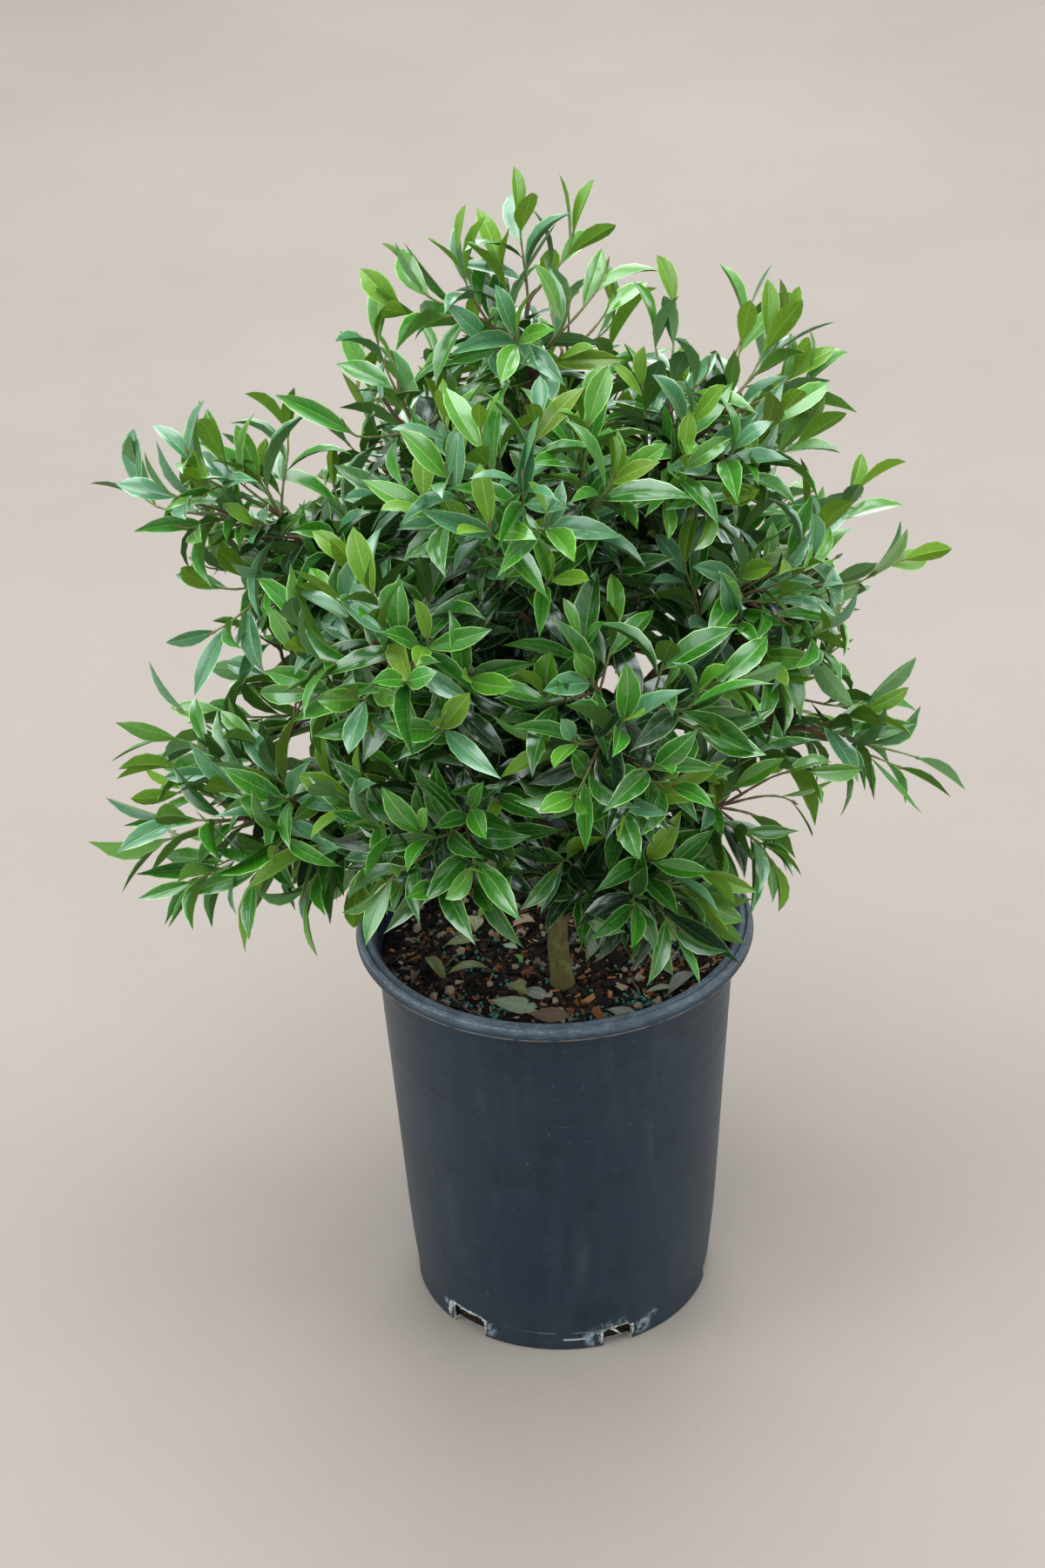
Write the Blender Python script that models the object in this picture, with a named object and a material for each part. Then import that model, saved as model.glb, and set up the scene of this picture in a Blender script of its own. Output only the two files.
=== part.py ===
"""Bushy small-leaved camellia in a blow-moulded nursery pot.

Metres, +Z up. The origin is the centre of the pot's flat underside. The front of
the plant faces -Y. Every part is one closed solid: the pot, the potting mix in it,
the stem with its central leader, one bough for each mass of foliage, and the masses
themselves, which share the crown out between them.
"""

import math

import bmesh
import bpy
import numpy as np
from mathutils import Vector

# ---- driving dimensions ----------------------------------------------------

GAP = 0.0004                # clear space kept between two solids that touch

POT_HEIGHT = 0.312
RIM_RADIUS = 0.1425
RIM_DEPTH = 0.0095          # height of the rolled lip
RIM_BEVEL = 0.0035          # outer upper edge of the lip
EDGE_BEVEL = 0.001          # the lip's other edges
RIM_INNER_RADIUS = 0.1308
BODY_TOP_RADIUS = 0.1295    # outside, just under the lip
BODY_FOOT_RADIUS = 0.1105   # outside, just above the foot ring
FOOT_HEIGHT = 0.016
FOOT_INSET = 0.001          # step in from the wall to the foot ring
FOOT_BEVEL = 0.0025         # lower edge of the foot ring
WALL = 0.002
FLOOR = 0.003
POT_SEGMENTS = 40

NOTCH_COUNT = 6             # drainage notches through the foot
NOTCH_WIDTH = 0.026
NOTCH_HEIGHT = 0.0145
NOTCH_CHAMFER = 0.004
NOTCH_REACH = (-0.009, 0.006)   # the cutters' ends, from the wall's outside
NOTCH_BELOW = -0.010        # the cutters start under the pot
FIRST_NOTCH = -70.0         # bearing in degrees from +X

MIX_LEVEL = 0.280           # surface of the potting mix
MIX_UNEVEN = 0.003
MIX_LEVEL_REACH = 0.045     # the mix is level this far round the stem,
MIX_LEVEL_FADE = 0.030      # and fully uneven this much further out
MIX_FOOT_INSET = 0.0015     # extra clear space in the pot's bottom corner
MIX_RINGS = (0.97, 0.78, 0.55, 0.28)

STEM_RADIUS = 0.0076
STEM_TIP_RADIUS = 0.0034
STEM_TAPER = 0.9            # power of the taper from foot to tip
STEM_FLARE = 0.0006         # extra radius at the foot
STEM_FLARE_FADE = 30.0      # how fast the flare dies away up the stem
STEM_SIDES = 10
STEM_RINGS = 15
STEM_END_STEPS = 20         # how finely the stem's end is fitted to the top mass
STEM_ROUTE = (              # the leader wanders a little on its way up
    (0.005, -0.041, MIX_LEVEL + GAP),
    (0.002, -0.040, 0.325),
    (0.010, -0.031, 0.380),
    (0.016, -0.019, 0.430),
    (0.007, -0.009, 0.490),
    (-0.003, 0.002, 0.590),
    (-0.008, 0.006, 0.690),
    (-0.004, 0.006, 0.800),
)

BOUGH_SIDES = 6
BOUGH_RINGS = 7
BOUGH_STEPS = 60            # how finely a bough's end is fitted to its mass
BOUGH_TIP_RATIO = 0.55
BEND_SPREAD = 0.34          # a bough's control point, as shares of its spread and climb
BEND_CLIMB = 0.66

CROWN_GAP = 0.0016          # between neighbouring masses
UNEVEN = 0.075              # how lumpy a mass is
TIP_SHARPNESS = 9.0         # how narrow the spur towards a mass's furthest tip is
MASS_SUBDIVISIONS = 3

SHARP_DEGREES = 35.0        # edges sharper than this are shaded as creases
MASS_SHARP_DEGREES = 50.0

# One row for each mass of foliage: name, bearing from +X in degrees, distance of its
# centre from the pot's axis, height of its centre, half width, half height, height
# at which its bough leaves the stem, bough radius, and the spur that reaches the
# furthest tip: bearing, slope in degrees and length over the mass's own radius.
MASSES = (
    ("skirt_left",        201, 0.205, 0.449, 0.090, 0.064, 0.372, 0.0046, (193, -8, 0.42)),
    ("skirt_front_left",  244, 0.172, 0.503, 0.086, 0.070, 0.394, 0.0044, (250, -30, 0.05)),
    ("skirt_front_right", 294, 0.132, 0.424, 0.070, 0.064, 0.352, 0.0042, (300, -50, 0.15)),
    ("skirt_right",       338, 0.150, 0.446, 0.070, 0.062, 0.386, 0.0044, (330, -30, 0.10)),
    ("skirt_back_right",   20, 0.190, 0.446, 0.080, 0.062, 0.364, 0.0044, (352, -16, 0.46)),
    ("skirt_back",         84, 0.190, 0.450, 0.092, 0.070, 0.400, 0.0046, (90, -15, 0.20)),
    ("skirt_back_left",   150, 0.196, 0.440, 0.082, 0.064, 0.380, 0.0044, (165, 5, 0.16)),
    ("middle_left",       178, 0.176, 0.622, 0.082, 0.074, 0.452, 0.0042, (176, 20, 0.36)),
    ("middle_front_left", 234, 0.170, 0.608, 0.088, 0.076, 0.424, 0.0042, (230, 0, 0.08)),
    ("middle_front",      286, 0.165, 0.566, 0.088, 0.080, 0.436, 0.0042, (280, -10, 0.08)),
    ("middle_right",      348, 0.163, 0.596, 0.088, 0.076, 0.440, 0.0044, (2, 8, 0.26)),
    ("middle_back_right",  45, 0.172, 0.592, 0.090, 0.076, 0.466, 0.0044, (40, 10, 0.12)),
    ("middle_back_left",  118, 0.176, 0.600, 0.096, 0.078, 0.480, 0.0044, (130, 10, 0.12)),
    ("shoulder_left",     172, 0.094, 0.692, 0.076, 0.068, 0.540, 0.0036, (200, 40, 0.10)),
    ("shoulder_front",    262, 0.104, 0.708, 0.086, 0.072, 0.520, 0.0036, (262, 30, 0.06)),
    ("shoulder_right",    348, 0.112, 0.708, 0.082, 0.070, 0.560, 0.0036, (20, 40, 0.20)),
    ("shoulder_back",      80, 0.100, 0.704, 0.088, 0.072, 0.580, 0.0036, (80, 30, 0.06)),
    ("crown_top",         170, 0.014, 0.786, 0.076, 0.066, None, None, (100, 78, 0.20)),
)

# ---- materials --------------------------------------------------------------

POT_BLACK = ((0.028, 0.034, 0.042, 1.0), 0.55, 0.0)
MIX_BROWN = ((0.030, 0.020, 0.014, 1.0), 0.95, 0.0)
BARK_TAN = ((0.150, 0.120, 0.075, 1.0), 0.80, 0.0)
BOUGH_BROWN = ((0.130, 0.070, 0.045, 1.0), 0.80, 0.0)
LEAF_GREEN = ((0.045, 0.110, 0.030, 1.0), 0.45, 0.0)


def principled(name, look):
    """A plain Principled material from (colour, roughness, metallic)."""
    colour, roughness, metallic = look
    material = bpy.data.materials.new(name)
    material.use_nodes = True
    shader = material.node_tree.nodes["Principled BSDF"]
    shader.inputs["Base Color"].default_value = colour
    shader.inputs["Roughness"].default_value = roughness
    shader.inputs["Metallic"].default_value = metallic
    material.diffuse_color = colour
    return material


# ---- meshes -----------------------------------------------------------------

def add_object(name, verts, faces, look, sharp_degrees=SHARP_DEGREES):
    """One smooth-shaded object from vertices and faces, with its own material."""
    mesh = bpy.data.meshes.new(name)
    mesh.from_pydata([tuple(v) for v in verts], [], [tuple(f) for f in faces])
    work = bmesh.new()
    work.from_mesh(mesh)
    bmesh.ops.recalc_face_normals(work, faces=work.faces)
    work.to_mesh(mesh)
    work.free()
    mesh.shade_smooth()
    mesh.set_sharp_from_angle(angle=math.radians(sharp_degrees))
    mesh.materials.append(principled(name + "_finish", look))
    thing = bpy.data.objects.new(name, mesh)
    bpy.context.scene.collection.objects.link(thing)
    return thing


def turned(profile, segments):
    """Vertices and faces of a closed turned solid.

    profile runs from the axis round the section and back to the axis; its first
    and last points lie on the axis and become single poles.
    """
    ring = profile[1:-1]
    turn = 2.0 * math.pi / segments
    verts = [(0.0, 0.0, profile[0][1])]
    for radius, height in ring:
        for step in range(segments):
            verts.append((radius * math.cos(step * turn), radius * math.sin(step * turn), height))
    verts.append((0.0, 0.0, profile[-1][1]))
    last = len(verts) - 1
    faces = []
    for step in range(segments):
        after = (step + 1) % segments
        faces.append((0, 1 + step, 1 + after))
        for row in range(len(ring) - 1):
            low = 1 + row * segments
            high = low + segments
            faces.append((low + step, high + step, high + after, low + after))
        top = 1 + (len(ring) - 1) * segments
        faces.append((last, top + after, top + step))
    return verts, faces


def smooth_route(points, count):
    """count points along a Catmull-Rom curve through the points."""
    known = [Vector(p) for p in points]
    known = [2 * known[0] - known[1]] + known + [2 * known[-1] - known[-2]]
    spans = len(known) - 3
    route = []
    for step in range(count):
        place = step / (count - 1) * spans
        span = min(int(place), spans - 1)
        t = place - span
        a, b, c, d = known[span:span + 4]
        route.append(0.5 * (2 * b + (c - a) * t + (2 * a - 5 * b + 4 * c - d) * t ** 2
                            + (3 * b - a - 3 * c + d) * t ** 3))
    return route


def limb(route, radii, sides, first_tangent):
    """Vertices and faces of a tapering round limb with flat ends."""
    count = len(route)
    tangents = [first_tangent.normalized()]
    for i in range(1, count):
        ahead = route[min(i + 1, count - 1)]
        tangents.append((ahead - route[i - 1]).normalized())
    across = tangents[0].orthogonal().normalized()
    verts = []
    for centre, radius, tangent in zip(route, radii, tangents):
        across = (across - tangent * across.dot(tangent)).normalized()
        beside = tangent.cross(across)
        for side in range(sides):
            angle = 2.0 * math.pi * side / sides
            verts.append(centre + radius * (math.cos(angle) * across + math.sin(angle) * beside))
    faces = [tuple(range(sides))[::-1]]
    for i in range(count - 1):
        low = i * sides
        for side in range(sides):
            after = (side + 1) % sides
            faces.append((low + side, low + after, low + sides + after, low + sides + side))
    faces.append(tuple(range((count - 1) * sides, count * sides)))
    return verts, faces


# ---- pot and mix ------------------------------------------------------------

def body_radius(height):
    """Outside radius of the pot's tapering wall at a height."""
    share = (height - FOOT_HEIGHT) / (POT_HEIGHT - RIM_DEPTH - FOOT_HEIGHT)
    return BODY_FOOT_RADIUS + (BODY_TOP_RADIUS - BODY_FOOT_RADIUS) * share


def pot_profile():
    """Section of the pot: underside, foot ring, wall, rolled lip, inner wall, floor."""
    foot = BODY_FOOT_RADIUS - FOOT_INSET
    top = POT_HEIGHT
    lip = top - RIM_DEPTH
    middle = 0.5 * top
    return [
        (0.0, 0.0),
        (foot - FOOT_BEVEL, 0.0),
        (foot, FOOT_BEVEL),
        (foot, FOOT_HEIGHT - FOOT_INSET),
        (BODY_FOOT_RADIUS, FOOT_HEIGHT),
        (body_radius(middle), middle),
        (BODY_TOP_RADIUS, lip),
        (RIM_RADIUS - EDGE_BEVEL, lip),
        (RIM_RADIUS, lip + EDGE_BEVEL),
        (RIM_RADIUS, top - RIM_BEVEL),
        (RIM_RADIUS - RIM_BEVEL, top),
        (RIM_INNER_RADIUS + EDGE_BEVEL, top),
        (RIM_INNER_RADIUS, top - EDGE_BEVEL),
        (BODY_TOP_RADIUS - WALL, lip - 2.0 * WALL),
        (body_radius(middle) - WALL, middle),
        (BODY_FOOT_RADIUS - WALL, FOOT_HEIGHT),
        (foot - WALL, FLOOR),
        (0.0, FLOOR),
    ]


def notch_cutter():
    """Six chamfered arches set round the foot, in one mesh."""
    half = 0.5 * NOTCH_WIDTH
    outline = (
        (-half, NOTCH_BELOW), (half, NOTCH_BELOW), (half, NOTCH_HEIGHT - NOTCH_CHAMFER),
        (half - NOTCH_CHAMFER, NOTCH_HEIGHT), (NOTCH_CHAMFER - half, NOTCH_HEIGHT),
        (-half, NOTCH_HEIGHT - NOTCH_CHAMFER),
    )
    reach = [BODY_FOOT_RADIUS + step for step in NOTCH_REACH]
    verts, faces = [], []
    points = len(outline)
    for notch in range(NOTCH_COUNT):
        bearing = math.radians(FIRST_NOTCH + notch * 360.0 / NOTCH_COUNT)
        out = Vector((math.cos(bearing), math.sin(bearing), 0.0))
        side = Vector((-math.sin(bearing), math.cos(bearing), 0.0))
        base = len(verts)
        for distance in reach:
            for across, height in outline:
                verts.append(out * distance + side * across + Vector((0.0, 0.0, height)))
        faces.append([base + i for i in range(points)][::-1])
        faces.append([base + points + i for i in range(points)])
        for i in range(points):
            after = (i + 1) % points
            faces.append((base + i, base + after, base + points + after, base + points + i))
    cutter = add_object("notch_cutter", verts, faces, POT_BLACK)
    cutter.hide_render = True
    cutter.display_type = "WIRE"
    return cutter


def make_pot():
    pot = add_object("pot", *turned(pot_profile(), POT_SEGMENTS), POT_BLACK)
    cut = pot.modifiers.new("drainage", "BOOLEAN")
    cut.operation = "DIFFERENCE"
    cut.solver = "EXACT"
    cut.object = notch_cutter()
    return pot


def mix_height(x, y):
    """Surface of the potting mix: gently uneven, level round the stem's foot."""
    wave = math.sin(47.0 * x + 1.3) * math.cos(39.0 * y - 0.6) + 0.5 * math.sin(83.0 * y + 61.0 * x)
    away = math.hypot(x - STEM_ROUTE[0][0], y - STEM_ROUTE[0][1])
    blend = min(max((away - MIX_LEVEL_REACH) / MIX_LEVEL_FADE, 0.0), 1.0)
    return MIX_LEVEL + MIX_UNEVEN * blend * wave / 1.5


def make_mix():
    """The mix fills the pot from its floor to the uneven surface."""
    foot = BODY_FOOT_RADIUS - FOOT_INSET - WALL - GAP - MIX_FOOT_INSET
    middle = 0.5 * POT_HEIGHT
    edge = body_radius(MIX_LEVEL) - WALL - 2.0 * GAP
    profile = [
        (0.0, FLOOR + GAP),
        (foot, FLOOR + GAP),
        (BODY_FOOT_RADIUS - WALL - 2.0 * GAP, FOOT_HEIGHT + WALL),
        (body_radius(middle) - WALL - 2.0 * GAP, middle),
        (edge, MIX_LEVEL - MIX_UNEVEN),
    ]
    profile += [(edge * share, MIX_LEVEL) for share in MIX_RINGS]
    profile.append((0.0, MIX_LEVEL))
    verts, faces = turned(profile, POT_SEGMENTS)
    below = len(profile) - len(MIX_RINGS) - 2
    first = 1 + below * POT_SEGMENTS
    shaped = verts[:first] + [(x, y, mix_height(x, y)) for x, y, z in verts[first:]]
    return add_object("potting_mix", shaped, faces, MIX_BROWN)


# ---- foliage masses ---------------------------------------------------------

def direction(bearing, slope):
    """Unit vector from a bearing and a slope in degrees."""
    turn, rise = math.radians(bearing), math.radians(slope)
    return np.array([math.cos(turn) * math.cos(rise), math.sin(turn) * math.cos(rise), math.sin(rise)])


class Mass:
    """One uneven mass of leaves, seen from its own centre."""

    def __init__(self, index, row):
        self.name, bearing, reach, height, self.wide, self.tall = row[:6]
        self.leaves_stem_at, self.bough_radius = row[6:8]
        tip_bearing, tip_slope, self.spur = row[8]
        self.index = index
        self.centre = reach * direction(bearing, 0.0) + np.array([0.0, 0.0, height])
        self.tip = direction(tip_bearing, tip_slope)
        self.size = (self.wide ** 2 * self.tall) ** (1.0 / 3.0)

    def free_radius(self, d):
        """Radius along unit vectors d, before the neighbours share the space out."""
        flat = np.hypot(d[:, 0], d[:, 1]) / self.wide
        ball = 1.0 / np.hypot(flat, d[:, 2] / self.tall)
        turn = 2.4 * self.index
        lumps = (np.sin(4.1 * d[:, 0] + 3.3 * d[:, 2] + turn)
                 + np.sin(5.3 * d[:, 1] - 3.9 * d[:, 0] + 1.7 * turn)
                 + np.sin(6.1 * d[:, 2] + 4.7 * d[:, 1] + 2.9 * turn))
        spur = self.spur * np.exp(TIP_SHARPNESS * (d @ self.tip - 1.0))
        return ball * (1.0 + UNEVEN * lumps + spur)

    def radius(self, d, others):
        """Radius along d, kept on this mass's side of the plane to each neighbour."""
        limit = self.free_radius(d)
        for other in others:
            if other is self:
                continue
            apart = other.centre - self.centre
            distance = np.linalg.norm(apart)
            share = (distance ** 2 + self.size ** 2 - other.size ** 2) / (2.0 * distance)
            facing = d @ (apart / distance)
            ahead = facing > 1e-4
            limit[ahead] = np.minimum(limit[ahead], (share - 0.5 * CROWN_GAP) / facing[ahead])
        return limit


def make_mass(mass, masses):
    """An icosphere pushed out to the mass's radius in every direction."""
    work = bmesh.new()
    bmesh.ops.create_icosphere(work, subdivisions=MASS_SUBDIVISIONS, radius=1.0)
    work.verts.ensure_lookup_table()
    d = np.array([v.co[:] for v in work.verts])
    d /= np.linalg.norm(d, axis=1)[:, None]
    verts = mass.centre + d * mass.radius(d, masses)[:, None]
    faces = [[v.index for v in f.verts] for f in work.faces]
    work.free()
    return add_object("foliage_" + mass.name, verts.tolist(), faces, LEAF_GREEN, MASS_SHARP_DEGREES)


# ---- stem and boughs --------------------------------------------------------

def stem_shape():
    """Route and radii of the stem and leader, from the mix into the top mass."""
    route = smooth_route(STEM_ROUTE, STEM_RINGS)
    radii = []
    for i in range(STEM_RINGS):
        share = i / (STEM_RINGS - 1)
        flare = STEM_FLARE * math.exp(-share * STEM_FLARE_FADE)
        radii.append(STEM_RADIUS + (STEM_TIP_RADIUS - STEM_RADIUS) * share ** STEM_TAPER + flare)
    return route, radii


def stem_at(height, route, radii):
    """Centre and radius of the stem at a height."""
    for i in range(len(route) - 1):
        if route[i].z <= height <= route[i + 1].z:
            share = (height - route[i].z) / (route[i + 1].z - route[i].z)
            return route[i].lerp(route[i + 1], share), radii[i] + (radii[i + 1] - radii[i]) * share
    raise ValueError("no stem at this height")


def outside(point, radius, mass, masses):
    """True while a limb's end of this radius at the point is clear of the mass."""
    away = np.array(point) - mass.centre
    distance = float(np.linalg.norm(away))
    surface = float(mass.radius((away / distance)[None, :], masses)[0])
    return distance > surface + radius + GAP


def bough_route(mass, masses, start, heading):
    """A quadratic curve from the stem, climbing before it spreads, up to its mass."""
    goal = Vector(mass.centre)
    spread = (goal - start).dot(heading)
    climb = goal.z - start.z
    bend = start + heading * BEND_SPREAD * spread + Vector((0.0, 0.0, BEND_CLIMB * climb))
    curve = []
    for step in range(BOUGH_STEPS + 1):
        t = step / BOUGH_STEPS
        point = start * (1 - t) ** 2 + bend * 2 * t * (1 - t) + goal * t ** 2
        if step and not outside(point, mass.bough_radius * BOUGH_TIP_RATIO, mass, masses):
            break
        curve.append(point)
    picks = [round(i * (len(curve) - 1) / (BOUGH_RINGS - 1)) for i in range(BOUGH_RINGS)]
    return [curve[i] for i in picks]


def make_bough(mass, masses, stem):
    centre, stem_radius = stem_at(mass.leaves_stem_at, *stem)
    heading = Vector(mass.centre) - centre
    heading.z = 0.0
    heading.normalize()
    start = centre + heading * (stem_radius + 3.0 * GAP)
    route = bough_route(mass, masses, start, heading)
    thin = BOUGH_TIP_RATIO
    radii = [mass.bough_radius * (1.0 + (thin - 1.0) * i / (BOUGH_RINGS - 1)) for i in range(BOUGH_RINGS)]
    verts, faces = limb(route, radii, BOUGH_SIDES, heading)
    return add_object("bough_" + mass.name, verts, faces, BOUGH_BROWN)


def make_stem(masses, stem):
    """The stem keeps the rings that lie below the top mass."""
    route, radii = stem
    top = masses[-1]
    kept = [i for i in range(len(route)) if outside(route[i], radii[i], top, masses)]
    count = kept[-1] + 1
    low, high = route[count - 1], route[count]
    for step in range(STEM_END_STEPS, 0, -1):
        end = low.lerp(high, step / STEM_END_STEPS)
        if outside(end, radii[count], top, masses):
            route = route[:count] + [end]
            radii = radii[:count] + [radii[count]]
            break
    verts, faces = limb(route, radii, STEM_SIDES, Vector((0.0, 0.0, 1.0)))
    return add_object("trunk", verts, faces, BARK_TAN)


def build():
    for thing in list(bpy.data.objects):
        bpy.data.objects.remove(thing, do_unlink=True)
    make_pot()
    make_mix()
    masses = [Mass(index, row) for index, row in enumerate(MASSES)]
    stem = stem_shape()
    make_stem(masses, stem)
    for mass in masses:
        if mass.leaves_stem_at is not None:
            make_bough(mass, masses, stem)
    for mass in masses:
        make_mass(mass, masses)


build()
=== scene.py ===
"""Looks of a bushy small-leaved camellia in a nursery pot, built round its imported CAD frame."""
import math

import bmesh
import bpy
import numpy as np
from mathutils import Matrix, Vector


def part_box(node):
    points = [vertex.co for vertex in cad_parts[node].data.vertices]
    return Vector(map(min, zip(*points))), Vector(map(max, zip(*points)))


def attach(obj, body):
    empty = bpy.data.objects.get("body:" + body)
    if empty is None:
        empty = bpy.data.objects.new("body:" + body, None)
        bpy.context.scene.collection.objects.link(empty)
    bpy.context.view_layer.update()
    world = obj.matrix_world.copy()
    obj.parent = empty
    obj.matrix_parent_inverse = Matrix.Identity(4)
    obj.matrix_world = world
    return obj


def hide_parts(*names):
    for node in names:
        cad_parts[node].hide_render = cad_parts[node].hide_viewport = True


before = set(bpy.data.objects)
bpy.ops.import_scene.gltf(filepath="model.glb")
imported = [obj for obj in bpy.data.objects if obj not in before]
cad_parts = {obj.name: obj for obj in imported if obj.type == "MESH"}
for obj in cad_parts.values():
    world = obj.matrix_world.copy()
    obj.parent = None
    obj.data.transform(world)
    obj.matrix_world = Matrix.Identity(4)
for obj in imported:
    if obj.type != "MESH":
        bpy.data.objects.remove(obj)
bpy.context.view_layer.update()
UP = np.array([0.0, 0.0, 1.0])
TURN = 2.0 * math.pi
MM = 1000.0                 # millimetres in a metre

# ---- camera -----------------------------------------------------------------

EYE = np.array([0.0, -2.084, 1.695])
EYE_TURN = math.radians(-0.54)      # bearing, clockwise from +Y
EYE_DIP = math.radians(31.40)
EYE_ROLL = math.radians(-1.84)
EYE_LENS = 80.0
EYE_SENSOR = 36.0


def unit(v):
    """Vectors scaled to length one, along the last axis."""
    return v / np.maximum(np.linalg.norm(v, axis=-1, keepdims=True), 1e-12)


def polar(radius, bearing, height):
    """Points (radius cos bearing, radius sin bearing, height)."""
    return np.stack(np.broadcast_arrays(radius * np.cos(bearing), radius * np.sin(bearing),
                                        height), -1)


def placed(right, top, ahead, spot):
    """The matrix of a camera or a lamp at spot that looks ahead."""
    place = Matrix(np.column_stack([right, top, -ahead]).tolist()).to_4x4()
    place.translation = spot
    return place


def place_camera():
    """A camera at EYE whose axes come from its bearing, dip and roll."""
    ahead = np.array([math.sin(EYE_TURN) * math.cos(EYE_DIP),
                      math.cos(EYE_TURN) * math.cos(EYE_DIP), -math.sin(EYE_DIP)])
    level = np.array([math.cos(EYE_TURN), -math.sin(EYE_TURN), 0.0])
    above = np.cross(level, ahead)
    right = math.cos(EYE_ROLL) * level + math.sin(EYE_ROLL) * above
    top = -math.sin(EYE_ROLL) * level + math.cos(EYE_ROLL) * above
    camera = bpy.data.cameras.new("camera")
    camera.lens = EYE_LENS
    camera.sensor_width = EYE_SENSOR
    camera.clip_end = 50.0
    thing = bpy.data.objects.new("camera", camera)
    thing.matrix_world = placed(right, top, ahead, EYE.tolist())
    bpy.context.scene.collection.objects.link(thing)
    bpy.context.scene.camera = thing


# ---- shader expressions -----------------------------------------------------

class Value:
    """A number that varies over a surface. Arithmetic on it adds Math nodes."""

    def __init__(self, finish, socket):
        self.finish, self.socket = finish, socket

    def math(self, operation, *terms):
        return self.finish.node("ShaderNodeMath", {"operation": operation}, terms)

    def __add__(self, other):
        return self.math("ADD", self, other)

    def __sub__(self, other):
        return self.math("SUBTRACT", self, other)

    def __rsub__(self, other):
        return self.math("SUBTRACT", other, self)

    def __mul__(self, other):
        return self.math("MULTIPLY", self, other)

    def __pow__(self, other):
        return self.math("POWER", self, other)

    def __abs__(self):
        return self.math("ABSOLUTE", self)

    __radd__ = __add__
    __rmul__ = __mul__

    def zigzag(self):
        """Distance to the nearest whole number, 0 to 0.5."""
        return self.math("PINGPONG", self, 0.5)

    def over(self, low, high):
        """0 below low, 1 above high, smooth between."""
        return self.finish.node("ShaderNodeMapRange", {"interpolation_type": "SMOOTHSTEP"},
                                {"Value": self, "From Min": low, "From Max": high}, "Result")

    def under(self, low, high):
        """1 below low, 0 above high, smooth between."""
        return 1.0 - self.over(low, high)


class Finish:
    """A material being built: one Principled shader and the nodes that feed it."""

    def __init__(self, name, colour, **constants):
        self.material = bpy.data.materials.new(name)
        self.material.use_nodes = True
        self.tree = self.material.node_tree
        self.shader = self.tree.nodes["Principled BSDF"]
        self.material.diffuse_color = (*colour, 1.0)
        self.give("Base Color", (*colour, 1.0))
        for socket, value in constants.items():
            self.give(socket.replace("_", " "), value)

    def feed(self, socket, value):
        if isinstance(value, Value):
            self.tree.links.new(value.socket, socket)
        else:
            socket.default_value = value

    def give(self, socket, value):
        """Sets or links an input of the Principled shader."""
        self.feed(self.shader.inputs[socket], value)

    def node(self, kind, settings=None, inputs=(), output=0):
        """Adds a node: its settings first, then its sockets' values or links."""
        made = self.tree.nodes.new(kind)
        for key, value in (settings or {}).items():
            setattr(made, key, value)
        for key, value in inputs.items() if isinstance(inputs, dict) else enumerate(inputs):
            self.feed(made.inputs[key], value)
        return Value(self, made.outputs[output])

    def mix(self, share, first, second):
        """Colour between first and second."""
        first = first if isinstance(first, Value) else (*first, 1.0)
        second = second if isinstance(second, Value) else (*second, 1.0)
        return self.node("ShaderNodeMix", {"data_type": "RGBA"},
                         {0: share, 6: first, 7: second}, 2)

    def coats(self, shade, *coats):
        """Coats (share, colour) laid one after another over a colour."""
        for share, colour in coats:
            shade = self.mix(share, shade, colour)
        return shade

    def place(self, stretch=(1.0, 1.0, 1.0)):
        """Object coordinates, stretched along the axes."""
        spot = self.node("ShaderNodeTexCoord", output="Object")
        if stretch == (1.0, 1.0, 1.0):
            return spot
        return self.node("ShaderNodeMapping", inputs={"Vector": spot, "Scale": stretch})

    def split(self, vector):
        """The three parts of a vector."""
        parts = self.node("ShaderNodeSeparateXYZ", inputs=[vector]).socket.node.outputs
        return [Value(self, part) for part in parts]

    def chart(self, name):
        """The two numbers of a UV map."""
        return self.split(self.node("ShaderNodeUVMap", {"uv_map": name}))[:2]

    def noise(self, spot, scale, detail=3.0, rough=0.5):
        return self.node("ShaderNodeTexNoise", None,
                         {"Vector": spot, "Scale": scale, "Detail": detail, "Roughness": rough})

    def chart_noise(self, name, stretch, scale, detail):
        """Noise over a UV map stretched in u and in v."""
        spot = self.node("ShaderNodeUVMap", {"uv_map": name})
        spot = self.node("ShaderNodeMapping", inputs={"Vector": spot, "Scale": (*stretch, 1.0)})
        return self.noise(spot, scale, detail)

    def bump(self, height, depth, strength):
        """Feeds the normal with a relief: height 0 to 1 stands for depth in metres."""
        self.give("Normal", self.node("ShaderNodeBump", None,
                  {"Height": height, "Distance": depth, "Strength": strength}))

    def surface(self, colour, rough, height, depth, strength):
        """Feeds the base colour, the roughness and a relief."""
        self.give("Base Color", colour)
        self.give("Roughness", rough)
        self.bump(height, depth, strength)


# ---- meshes -----------------------------------------------------------------

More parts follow.
